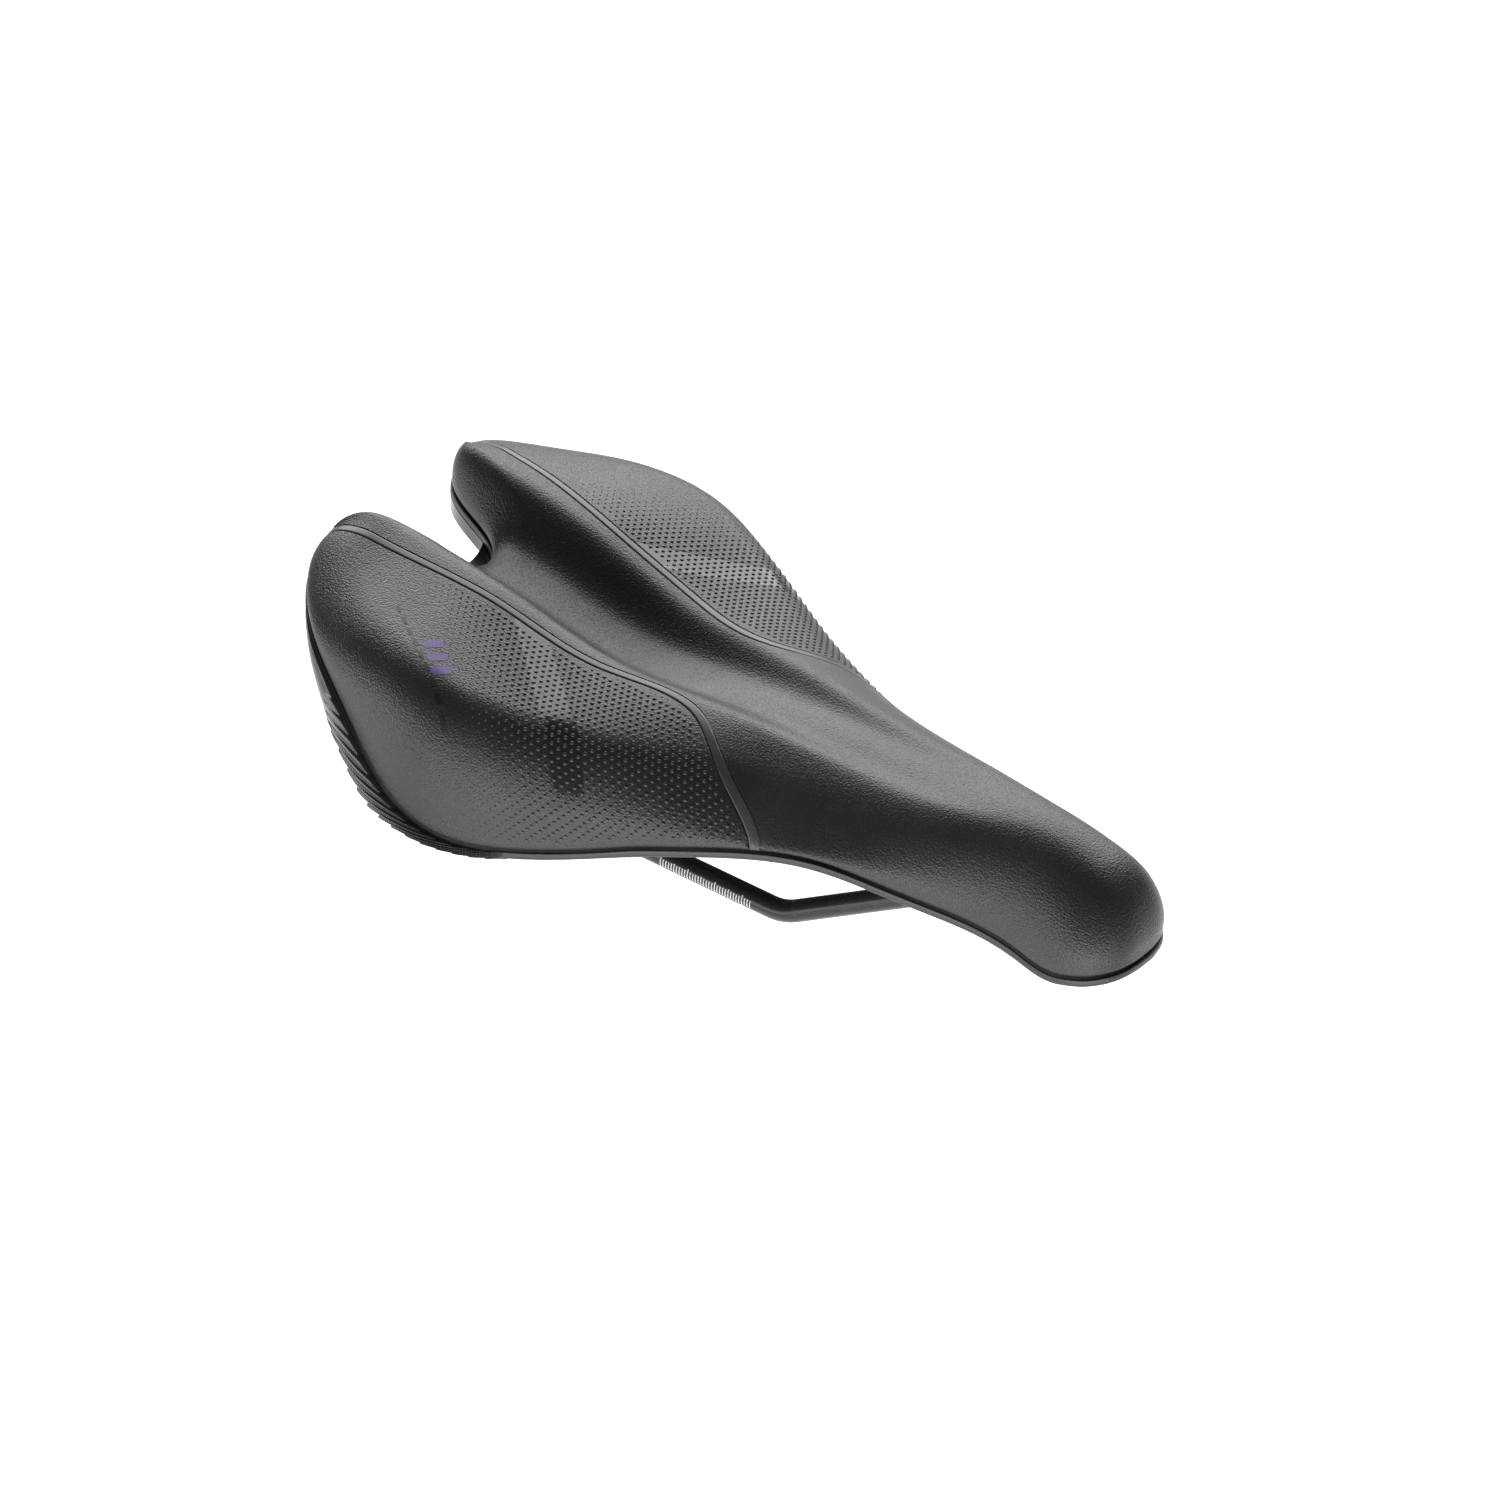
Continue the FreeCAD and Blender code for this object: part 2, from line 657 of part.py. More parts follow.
def screw_hole(seat, depth):
    """Upright hole that starts just under a screw's seat."""
    return Part.makeCylinder(SCREW_SHANK_DIAMETER / 2, depth + 2 * OVERCUT, seat - UP * OVERCUT, UP)


def sector(low, high):
    """Upright cutting block that reaches far past the shell, in plan between two corners."""
    return box((low[0], low[1], -FAR), (high[0], high[1], FAR))


def edge_ring(outward, inward):
    """Upright wall along the whole outline, from outward of it to inward of it."""
    return outline_column(outward).cut(outline_column(-inward))


def bumper_depth(x):
    """Depth of a corner bumper below the shell's rim, least at its two ends."""
    share = (x - BUMPER_REAR_X) / (BUMPER_FRONT_X - BUMPER_REAR_X)
    swell = math.sin(math.pi * min(max(share, 0.0), 1.0)) ** 2
    return BUMPER_TIP_DEPTH + (BUMPER_DEPTH - BUMPER_TIP_DEPTH) * swell


def bumper_floor(x, y):
    """Height of a corner bumper's lower face."""
    return shell_height(x, y) - SHELL_WALL - bumper_depth(x)


def corner_bumper(side):
    """Scuff guard under the shell's rim at one rear outer corner."""
    low_y, high_y = sorted((side * (WING_TIP_Y + BUMPER_CLEARANCE), side * FAR))
    block = sector((BUMPER_REAR_X, low_y), (BUMPER_FRONT_X, high_y))
    strip = edge_ring(BUMPER_STAND_OUT, BUMPER_WIDTH).common(block)
    return largest(strip.common(below(shell_height, SHELL_WALL)).common(above(bumper_floor)))


def bumper_screw_seats(side):
    """Seats of a bumper's screws on its lower face, over its middle line."""
    seats = []
    for share in BUMPER_SCREWS:
        x = BUMPER_REAR_X + share * (BUMPER_FRONT_X - BUMPER_REAR_X)
        y = half_width_at(x) - BUMPER_WIDTH / 2
        seats.append(Vector(x, side * y, bumper_floor(x, y)))
    return seats


def half_width_at(x):
    """Half width of the plan outline at x, ahead of the wing tips."""
    curve = outline_curve()
    line = Part.LineSegment(Vector(x, HALF_WIDTH * 0.5, 0), Vector(x, FAR, 0))
    hits = curve.intersect(line)
    return max(hit.Y for hit in hits)


def rear_yoke():
    """Glossy moulding that edges the notch and bridges the two wings under the channel."""
    reach_y = WING_TIP_Y - YOKE_TIP_SETBACK
    rim = edge_ring(YOKE_STAND_OUT, YOKE_WIDTH)
    rim = rim.common(sector((REAR_X + YOKE_REAR_SETBACK, -reach_y), (NOTCH_X + YOKE_WIDTH, reach_y)))
    half = NOTCH_HALF_WIDTH + YOKE_WIDTH
    rear_x = NOTCH_X - BRIDGE_REACH
    bridge = sector((rear_x, -half), (NOTCH_X + YOKE_WIDTH, half))
    hollow_x = rear_x + half * half / (2 * BRIDGE_HOLLOW) - BRIDGE_HOLLOW
    bridge = bridge.cut(Part.makeCylinder(BRIDGE_HOLLOW, 2 * FAR, Vector(hollow_x, 0, -FAR), UP))
    yoke = rim.fuse(bridge).common(below(shell_height, SHELL_WALL))
    return largest(yoke.common(above(shell_height, SHELL_WALL + YOKE_DEPTH)))


def shell_ribs():
    """Stiffening ribs under the shell."""
    bars = []
    half_wall = RIB_WALL / 2
    for side, _ in SIDES:
        y = side * RIB_Y
        bars.append(sector((CROSS_RIBS_X[0], y - half_wall), (CROSS_RIBS_X[-1], y + half_wall)))
        y = side * (WINDOW_HALF_WIDTH + RIB_WALL)
        bars.append(sector((WINDOW_REAR_X, y - half_wall), (WINDOW_FRONT_X + KEEL_RUN_ON, y + half_wall)))
    for x in CROSS_RIBS_X:
        half = RIB_Y + half_wall
        if x < WIDE_RIBS_FRONT_X:
            half = half_width_at(x) - RIB_END_SETBACK
        bars.append(sector((x - half_wall, -half), (x + half_wall, half)))
    grid = bars[0].multiFuse(bars[1:])
    grid = grid.common(below(shell_height, SHELL_WALL / 2))
    return grid.common(above(shell_height, SHELL_WALL + RIB_DEPTH))


def window():
    """Long round-ended opening through the shell."""
    radius = WINDOW_HALF_WIDTH
    middle = box((WINDOW_REAR_X + radius, -radius, -FAR), (WINDOW_FRONT_X - radius, radius, FAR))
    ends = []
    for x in (WINDOW_REAR_X + radius, WINDOW_FRONT_X - radius):
        ends.append(Part.makeCylinder(radius, 2 * FAR, Vector(x, 0, -FAR), UP))
    return middle.multiFuse(ends)


def base_shell():
    """Moulded plastic shell with its ribs, relief window, rear sockets and nose seat."""
    plate = outline_column().common(below(shell_height)).common(above(shell_height, SHELL_WALL))
    extras = [shell_ribs(), nose_seat()]
    extras += [rear_socket(side).common(below(shell_height)) for side, _ in SIDES]
    cutters = [window()]
    for side, _ in SIDES:
        cutters += [socket_bores(side), rail(side, RAIL_SEAT_CLEARANCE)]
        cutters += [screw_hole(seat, BUMPER_DEPTH + SHELL_WALL) for seat in bumper_screw_seats(side)]
    cutters += [screw_hole(seat, SCREW_LENGTH) for seat in clip_screw_seats()]
    return largest(plate.multiFuse(extras).cut(cutters))


def build_nodes():
    """Every node of the saddle by name."""
    nodes = {"base_shell": base_shell(), "foam_pad": foam_pad(), "rear_yoke": rear_yoke()}
    nodes.update(cover_pieces())
    bumper_screws = []
    for side, name in SIDES:
        nodes["gel_insert_" + name] = gel_insert(side)
        nodes["rail_" + name] = rail(side)
        nodes["rail_bush_" + name] = rail_bush(side)
        nodes["rail_collar_" + name] = rail_collar(side)
        bumper = corner_bumper(side)
        for seat in bumper_screw_seats(side):
            bumper = bumper.cut(screw_hole(seat, BUMPER_DEPTH))
            bumper_screws.append(screw_shape(seat, UP))
        nodes["corner_bumper_" + name] = bumper
    nodes["bumper_screws"] = Part.makeCompound(bumper_screws)
    nodes["collar_screws"] = collar_screws()
    nodes["nose_clip"] = nose_clip()
    nodes["nose_clip_screws"] = nose_clip_screws()
    return nodes


def main():
    os.makedirs("parts", exist_ok=True)
    for name, shape in sorted(build_nodes().items()):
        shape.exportStep("parts/" + name + ".step")
        print(name, len(shape.Solids), "solids", round(shape.Volume / 1000, 2), "cm3", shape.isValid())


main()
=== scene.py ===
"""Bicycle saddle: the padded cover, its trims and every finish, built round the fixed frame."""
from __future__ import annotations

import logging
import math
from dataclasses import dataclass, field
from enum import Enum
from functools import cached_property

import bmesh
import bpy
import numpy as np
from mathutils import Matrix, Vector


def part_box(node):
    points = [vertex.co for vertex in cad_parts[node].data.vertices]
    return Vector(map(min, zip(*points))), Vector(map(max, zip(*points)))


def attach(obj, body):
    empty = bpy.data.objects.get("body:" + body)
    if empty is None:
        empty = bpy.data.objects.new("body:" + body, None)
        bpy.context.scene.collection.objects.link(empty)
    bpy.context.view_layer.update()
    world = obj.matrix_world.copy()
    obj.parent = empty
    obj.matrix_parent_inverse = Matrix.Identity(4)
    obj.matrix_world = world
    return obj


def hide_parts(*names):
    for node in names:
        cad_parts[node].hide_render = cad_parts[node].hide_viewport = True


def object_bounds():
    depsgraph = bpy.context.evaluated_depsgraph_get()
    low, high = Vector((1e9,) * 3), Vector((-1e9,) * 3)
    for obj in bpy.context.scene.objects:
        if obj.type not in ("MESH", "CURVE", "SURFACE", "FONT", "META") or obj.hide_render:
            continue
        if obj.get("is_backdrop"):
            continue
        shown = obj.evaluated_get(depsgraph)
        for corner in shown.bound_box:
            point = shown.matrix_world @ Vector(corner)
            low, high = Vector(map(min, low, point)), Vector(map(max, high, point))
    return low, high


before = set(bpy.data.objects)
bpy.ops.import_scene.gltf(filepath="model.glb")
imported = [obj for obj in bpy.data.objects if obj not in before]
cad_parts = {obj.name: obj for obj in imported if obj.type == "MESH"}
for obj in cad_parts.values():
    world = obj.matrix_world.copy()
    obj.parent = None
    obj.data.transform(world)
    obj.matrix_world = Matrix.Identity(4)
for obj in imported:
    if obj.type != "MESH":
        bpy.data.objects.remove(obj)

LOG = logging.getLogger("saddle")
MM = 0.001  # metres
ROOT = "root"
UV_SPAN = 200.0
UV_MARGIN = 4.0
GRAIN_WARP = 0.0006
TINY = 1e-9
SMALLEST_PIP = 0.12
LONGER_MARK = 0.25
LIP_STEEPNESS = 6.0
MIRROR = np.array([1.0, -1.0, 1.0])
WHITE = (1.0, 1.0, 1.0, 1.0)
Colour = tuple[float, float, float]
Socket = bpy.types.NodeSocket
Look = tuple[Socket, dict]


class Side(Enum):
    """The two sides of the saddle, by the sign of Y."""

    LEFT = 1
    RIGHT = -1

    @property
    def label(self) -> str:
        """Word used in node names."""
        return self.name.lower()


# ---------------------------------------------------------------- curves in plan


class Profile:
    """Smooth function through (x, value) points, straight beyond its ends."""

    def __init__(self, points: list[tuple[float, float]]) -> None:
        """Store the points and the slope at each one.

        Args:
            points: Places along the saddle and the value at each, in rising order of x.
        """
        self.x = np.array([p[0] for p in points])
        self.value = np.array([p[1] for p in points])
        before = np.maximum(np.arange(len(points)) - 1, 0)
        after = np.minimum(np.arange(len(points)) + 1, len(points) - 1)
        self.slope = (self.value[after] - self.value[before]) / (self.x[after] - self.x[before])

    def __call__(self, x: np.ndarray) -> np.ndarray:
        """Value at each x."""
        x = np.asarray(x, float)
        i = np.clip(np.searchsorted(self.x, x, "right") - 1, 0, len(self.x) - 2)
        span = self.x[i + 1] - self.x[i]
        t = np.clip((x - self.x[i]) / span, 0.0, 1.0)
        start = (1 + 2 * t) * (1 - t) ** 2 * self.value[i] + t * (1 - t) ** 2 * span * self.slope[i]
        end = t * t * (3 - 2 * t) * self.value[i + 1] + t * t * (t - 1) * span * self.slope[i + 1]
        low = np.minimum(x - self.x[0], 0.0) * self.slope[0]
        high = np.maximum(x - self.x[-1], 0.0) * self.slope[-1]
        return start + end + low + high


def spline(points: np.ndarray, samples: int, closed: bool = False) -> np.ndarray:
    """Cubic spline through plan points.

    Args:
        points: Points that the curve passes through.
        samples: How many points to return.
        closed: Whether the curve returns to its first point.

    Returns:
        Points along the curve, the last one equal to the first when closed.
    """
    knots = np.asarray(points, float)
    if closed:
        knots = np.vstack([knots, knots[:1]])
    at = np.concatenate([[0.0], np.cumsum(np.linalg.norm(np.diff(knots, axis=0), axis=1))])
    gap = np.diff(at)
    rise = np.diff(knots, axis=0) / gap[:, None]
    count = len(knots)
    system = np.eye(count)
    right = np.zeros_like(knots)
    for i in range(1, count - 1):
        system[i, i - 1:i + 2] = gap[i - 1], 2 * (gap[i - 1] + gap[i]), gap[i]
        right[i] = 6 * (rise[i] - rise[i - 1])
    if closed:
        system[0, -1] = -1.0
        system[-1, :] = 0.0
        system[-1, [0, 1, -2, -1]] = 2 * gap[0], gap[0], gap[-1], 2 * gap[-1]
        right[-1] = 6 * (rise[0] - rise[-1])
    bend = np.linalg.solve(system, right)
    s = np.linspace(0.0, at[-1], samples)
    i = np.clip(np.searchsorted(at, s, "right") - 1, 0, count - 2)
    a = ((at[i + 1] - s) / gap[i])[:, None]
    b = 1.0 - a
    curve = (a ** 3 - a) * bend[i] + (b ** 3 - b) * bend[i + 1]
    return a * knots[i] + b * knots[i + 1] + curve * (gap[i] ** 2)[:, None] / 6


def lengths(line: np.ndarray) -> np.ndarray:
    """Distance along a polyline at each of its points."""
    return np.concatenate([[0.0], np.cumsum(np.linalg.norm(np.diff(line, axis=0), axis=1))])


def resample(line: np.ndarray, count: int) -> np.ndarray:
    """Evenly spaced points along a polyline."""
    at = lengths(line)
    s = np.linspace(0.0, at[-1], count)
    return np.stack([np.interp(s, at, line[:, k]) for k in range(line.shape[1])], axis=1)


def join_runs(runs: list[np.ndarray], counts: list[int]) -> np.ndarray:
    """Resample runs that follow each other and join them without doubled points."""
    parts = [resample(run, count + 1) for run, count in zip(runs, counts)]
    return np.vstack([part[:-1] for part in parts[:-1]] + [parts[-1]])


def side_step(line: np.ndarray) -> np.ndarray:
    """Unit vectors to the left of a plan polyline's direction."""
    along = np.gradient(line, axis=0)
    along /= np.linalg.norm(along, axis=1)[:, None]
    return np.stack([-along[:, 1], along[:, 0]], axis=1)


# ---------------------------------------------------------------- the saddle's form


@dataclass(frozen=True)
class SaddleForm:
    """Plan outline and outer surface of the saddle, in millimetres in the frame's axes."""

    nose_x: float
    rear_x: float
    half_width: float
    widest_x: float = -48.0
    nose_half_width: float = 19.5
    nose_corner: float = 15.0
    wing_tip_y: float = 34.0
    notch_x: float = -84.0
    notch_half_width: float = 9.5
    sit_height: float = 58.0
    rear_rise: float = 22.5
    nose_height: float = 55.5
    nose_roll: float = 9.0
    wing_edge: float = 17.0
    arch_edge: float = 34.0
    nose_edge: float = 23.5
    rear_edge: float = 60.5
    shoulder_radius: float = 17.0
    notch_radius: float = 9.0
    shoulder_share: float = 0.78
    channel_depth: float = 14.0
    channel_half_width: float = 17.0
    channel_fade_x: float = 118.0
    skirt_radius: float = 22.0
    shell_gap: float = 0.6

    def along(self, share: float) -> float:
        """X at a share of the length, from the rear tips to the nose tip."""
        return self.rear_x + share * (self.nose_x - self.rear_x)

    def _profile(self, *points: tuple[float, float]) -> Profile:
        """Profile from shares of the length and values."""
        return Profile([(self.along(share), value) for share, value in points])

    @cached_property
    def crest(self) -> Profile:
        """Height of the cover's crest."""
        sit, nose = self.sit_height, self.nose_height
        return self._profile((0.0, sit + self.rear_rise), (0.19, sit + 0.5 * self.rear_rise), (0.35, sit),
                             (0.53, sit + 0.4), (0.71, nose), (0.88, nose), (1.0, nose - self.nose_roll))

    @cached_property
    def edge(self) -> Profile:
        """Height of the cover's lower edge along the flank."""
        wing, arch, rear = self.wing_edge, self.arch_edge, self.rear_edge
        return self._profile((0.0, rear), (0.12, 0.72 * rear + 0.28 * wing), (0.24, 0.12 * rear + 0.88 * wing),
                             (0.35, wing), (0.5, 0.5 * (wing + arch)), (0.67, arch), (0.86, self.nose_edge),
                             (1.0, self.nose_edge + 1.4))

    @cached_property
    def crown(self) -> Profile:
        """Fall from the crest line to the flank, before the shoulder."""
        return self._profile((0.0, 19.0), (0.19, 5.0), (0.35, 3.5), (0.57, 19.5), (0.78, 9.5), (1.0, 8.0))

    @cached_property
    def foam_depth(self) -> Profile:
        """Depth from the crest to the shell."""
        return self._profile((0.0, 19.0), (0.35, 23.0), (0.8, 16.0), (1.0, 13.0))

    @cached_property
    def flank(self) -> list[tuple[float, float]]:
        """Points of the outer edge from the nose's side to the wing's rear corner."""
        spread = self.half_width - self.nose_half_width
        front = self.nose_x - self.widest_x
        rear = self.widest_x - self.rear_x
        ahead = ((0.855, 0.02), (0.645, 0.175), (0.45, 0.37), (0.285, 0.6), (0.125, 0.875), (0.0, 1.0))
        behind = ((0.34, 0.955), (0.69, 0.815))
        points = [(self.widest_x + a * front, self.nose_half_width + b * spread) for a, b in ahead]
        return points + [(self.widest_x - a * rear, b * self.half_width) for a, b in behind]

    @cached_property
    def guide(self) -> Profile:
        """Half width of the saddle, carried past its rounded ends."""
        ends = [(self.nose_x, self.nose_half_width + 1.0), (self.rear_x, 0.78 * self.half_width)]
        return Profile(sorted([(x, y + 1.0) for x, y in self.flank] + ends))

    @cached_property
    def outline(self) -> np.ndarray:
        """Closed plan outline, from the nose tip round the left side to the notch and back."""
        nose = [(self.nose_x, 0.0), (self.nose_x - 1.8, 0.6 * self.nose_half_width),
                (self.nose_x - 7.5, 0.95 * self.nose_half_width)]
        tip = [(self.rear_x + 6.0, 0.5 * (self.wing_tip_y + 0.815 * self.half_width)),
               (self.rear_x, self.wing_tip_y), (self.rear_x + 4.0, 0.66 * self.wing_tip_y),
               (0.5 * (self.rear_x + self.notch_x), self.notch_half_width + 0.22 * self.wing_tip_y - 2.0),
               (self.notch_x - 5.0, self.notch_half_width), (self.notch_x, 0.0)]
        left = nose + self.flank + tip
        right = [(x, -y) for x, y in reversed(left[1:-1])]
        return spline(np.array(left + right), 1601, closed=True)

    @cached_property
    def left_half(self) -> np.ndarray:
        """Left half of the outline, from the nose tip to the bottom of the notch."""
        half = self.outline[:801].copy()
        half[[0, -1], 1] = 0.0
        return half

    @cached_property
    def seam(self) -> np.ndarray:
        """Middle of the left seam band, from behind the rear tip to outside the flank."""
        turn_x = self.nose_x - 0.6 * (self.nose_x - self.widest_x)
        wide = self.half_width
        edge_y = float(self.guide(turn_x + 16.0))
        points = [(self.rear_x - 8.0, self.wing_tip_y - 0.5), (self.rear_x + 9.0, self.wing_tip_y - 0.8),
                  (self.rear_x + 31.0, self.wing_tip_y - 1.8), (self.widest_x - 10.0, 0.35 * wide),
                  (self.widest_x + 24.0, 0.305 * wide), (turn_x - 34.0, 0.255 * wide),
                  (turn_x - 22.0, 0.285 * wide), (turn_x - 4.0, 0.42 * wide), (turn_x + 16.0, edge_y + 1.0),
                  (turn_x + 24.0, edge_y + 10.0)]
        return spline(np.array(points), 900)

    def inset(self, points: np.ndarray, in_notch: bool) -> np.ndarray:
        """Distance of plan points from the notch's part of the outline or from the rest of it."""
        start = self.outline[:-1:2]
        step = np.roll(start, -1, axis=0) - start
        part = (np.abs(start[:, 1]) < self.wing_tip_y) & (start[:, 0] < self.notch_x + 1.0)
        start, step = start[part == in_notch], step[part == in_notch]
        size = (step ** 2).sum(axis=1)
        found = np.empty(len(points))
        for low in range(0, len(points), 4000):
            block = points[low:low + 4000, None, :] - start[None]
            share = np.clip((block * step).sum(axis=2) / size, 0.0, 1.0)
            away = block - share[..., None] * step
            found[low:low + 4000] = np.sqrt((away ** 2).sum(axis=2).min(axis=1))
        return found

    def inside(self, points: np.ndarray) -> np.ndarray:
        """Whether each plan point lies inside the outline."""
        a = self.outline[:-1]
        b = self.outline[1:]
        y = points[:, 1][:, None]
        crosses = (a[:, 1] > y) != (b[:, 1] > y)
        reach = a[:, 0] + (y - a[:, 1]) / (b[:, 1] - a[:, 1] + 1e-12) * (b[:, 0] - a[:, 0])
        return (crosses & (points[:, 0][:, None] < reach)).sum(axis=1) % 2 == 1

    def shell_height(self, points: np.ndarray) -> np.ndarray:
        """Height of the shell's upper surface."""
        x, y = points[:, 0], np.abs(points[:, 1])
        middle = self.crest(x) - self.foam_depth(x)
        rim = self.edge(x) - self.shell_gap
        ahead = x - self.nose_x + self.nose_corner
        beside = y - self.guide(x) + 1.0 + self.nose_corner
        corner = np.hypot(np.maximum(ahead, 0.0), np.maximum(beside, 0.0))
        reach = self.nose_corner - corner - np.minimum(np.maximum(ahead, beside), 0.0)
        outward = np.clip(1.0 - reach / self.skirt_radius, 0.0, 1.2)
        return middle - (middle - rim) * outward ** 2

    def rim_height(self, points: np.ndarray) -> np.ndarray:
        """Height of the cover's lower edge at outline points."""
        return self.shell_height(points) + self.shell_gap

    def channel(self, x: np.ndarray, y: np.ndarray) -> np.ndarray:
        """Depth of the relief channel."""
        run = np.clip((self.channel_fade_x - x) / (self.channel_fade_x - self.notch_x), 0.0, 1.0)
        deep = self.channel_depth * run ** 1.2
        wide = self.channel_half_width * (0.55 + 0.45 * run)
        return deep * np.exp(-(y / wide) ** 4)

    def top(self, points: np.ndarray) -> np.ndarray:
        """Height of the cover's outer surface at plan points."""
        x, y = points[:, 0], points[:, 1]
        plain = self.crest(x) - self.crown(x) * (y / self.guide(x)) ** 2 - self.channel(x, y)
        outer = 1.0 - self.inset(points, False) / self.shoulder_radius
        inner = 1.0 - self.inset(points, True) / self.notch_radius
        inward = np.clip(np.maximum(outer, inner), 0.0, 1.0)
        fall = 1.0 - np.sqrt(np.maximum(0.0, 1.0 - inward ** 2))
        return plain - self.shoulder_share * np.maximum(plain - self.rim_height(points), 4.0) * fall

    def surface(self, points: np.ndarray) -> np.ndarray:
        """Plan points, in rows or a grid, lifted on to the cover's outer surface."""
        flat = points.reshape(-1, 2)
        return np.column_stack([flat, self.top(flat)]).reshape(*points.shape[:-1], 3)

    def crossing(self, line: np.ndarray, last: bool) -> int:
        """Index on a plan polyline of its first or last point inside the outline."""
        found = np.flatnonzero(self.inside(line))
        return int(found[-1] if last else found[0])

    def nearest_on_half(self, point: np.ndarray) -> int:
        """Index of the left half outline's nearest point."""
        return int(np.argmin(((self.left_half - point) ** 2).sum(axis=1)))

    @cached_property
    def half_inward(self) -> np.ndarray:
        """Unit vectors into the saddle at each point of the left half outline."""
        inward = side_step(self.left_half)
        inward[[0, -1]] = (-1.0, 0.0), (1.0, 0.0)
        return inward

    def inward(self, line: np.ndarray) -> np.ndarray:
        """Unit vectors into the saddle at outline points of the left half."""
        return self.half_inward[[self.nearest_on_half(point) for point in line]]


# ---------------------------------------------------------------- meshes


def mesh_object(name: str, vertices: np.ndarray, faces: list[tuple[int, ...]], uv: np.ndarray | None = None,
                values: dict[str, np.ndarray] | None = None) -> bpy.types.Object:
    """Make a smooth mesh object from millimetre vertices.

    Args:
        name: Piece name.
        vertices: Vertex places in millimetres.
        faces: Vertex indices of each face.
        uv: Texture place of each vertex, if the piece has a pattern of its own.
        values: Named number or vector of each vertex.

    Returns:
        The new object.
    """
    mesh = bpy.data.meshes.new(name)
    mesh.from_pydata((vertices * MM).tolist(), [], faces)
    for key, value in (values or {}).items():
        kind, field_name = ("FLOAT", "value") if value.ndim == 1 else ("FLOAT_VECTOR", "vector")
        layer = mesh.attributes.new(key, kind, "POINT")
        layer.data.foreach_set(field_name, value.astype(np.float32).ravel())
    if uv is not None:
        layer = mesh.uv_layers.new(name="UVMap")
        corner = np.empty(len(mesh.loops), np.int32)
        mesh.loops.foreach_get("vertex_index", corner)
        layer.data.foreach_set("uv", uv[corner].astype(np.float32).ravel())
    mesh.polygons.foreach_set("use_smooth", [True] * len(mesh.polygons))
    piece = bpy.data.objects.new(name, mesh)
    bpy.context.scene.collection.objects.link(piece)
    return piece


def tidy_mesh(piece: bpy.types.Object, merge: float = 1e-6, recalc: bool = True) -> None:
    """Merge doubled vertices and turn faces outwards."""
    work = bmesh.new()
    work.from_mesh(piece.data)
    bmesh.ops.remove_doubles(work, verts=work.verts, dist=merge)
    bmesh.ops.dissolve_degenerate(work, edges=work.edges, dist=merge)
    if recalc:
        bmesh.ops.recalc_face_normals(work, faces=work.faces)
    work.to_mesh(piece.data)
    work.free()
    piece.data.polygons.foreach_set("use_smooth", [True] * len(piece.data.polygons))


def grid_faces(rows: int, columns: int, flip: bool = False, offset: int = 0,
               wrap_rows: bool = False, wrap_columns: bool = False) -> list[tuple[int, ...]]:
    """Quads of a grid of vertices stored row by row."""
    faces = []
    for i in range(rows if wrap_rows else rows - 1):
        for j in range(columns if wrap_columns else columns - 1):
            a = offset + i * columns + j
            b = offset + i * columns + (j + 1) % columns
            c = offset + (i + 1) % rows * columns + (j + 1) % columns
            d = offset + (i + 1) % rows * columns + j
            faces.append((d, c, b, a) if flip else (a, b, c, d))
    return faces


def both_halves(name: str, grid: np.ndarray) -> bpy.types.Object:
    """Mesh object of a left half, given as a grid, and its mirror image."""
    rows, columns = grid.shape[:2]
    points = grid.reshape(-1, 3)
    faces = grid_faces(rows, columns) + grid_faces(rows, columns, flip=True, offset=len(points))
    return mesh_object(name, np.vstack([points, points * MIRROR]), faces)


def between(start: np.ndarray, end: np.ndarray, share: np.ndarray) -> np.ndarray:
    """Grid of plan points at shares of the way from one line to another."""
    return start[:, None] * (1 - share[None, :, None]) + end[:, None] * share[None, :, None]


class Border(Enum):
    """How a cover piece ends along one of its borders."""

    SEAM = "seam"
    FLANK = "flank"
    INNER = "inner"


@dataclass(frozen=True)
class CoverEdge:
    """Shape of the borders of the cover's pieces."""

    roll: float = 0.32
    seam_depth: float = 1.3
    hem: float = 3.5
    hem_lift: float = 0.3
    hem_radius: float = 1.3
    hem_rows: int = 4
    steps: int = 9

    def flank_wall(self, form: SaddleForm, line: np.ndarray) -> np.ndarray:
        """Rows that go down the side wall and turn under it, outermost first.

        Args:
            form: The saddle's form.
            line: Outline points in order.

        Returns:
            Array of rows by line points by three, from the hem up to just below the wall's top.
        """
        high = form.top(line)
        low = form.rim_height(line)
        inward = form.inward(line)
        rows = [np.column_stack([line + inward * self.hem, low + self.hem_lift])]
        for k in range(self.hem_rows):
            angle = math.pi / 2 * k / (self.hem_rows - 1)
            step = self.hem_radius * (1 - math.sin(angle))
            lift = self.hem_radius * (1 - math.cos(angle))
            rows.append(np.column_stack([line + inward * step, low + lift]))
        upright = self.steps - self.hem_rows
        bottom = low + self.hem_radius
        rows += [np.column_stack([line, bottom + k / upright * (high - bottom)]) for k in range(1, upright)]
        return np.array(rows)


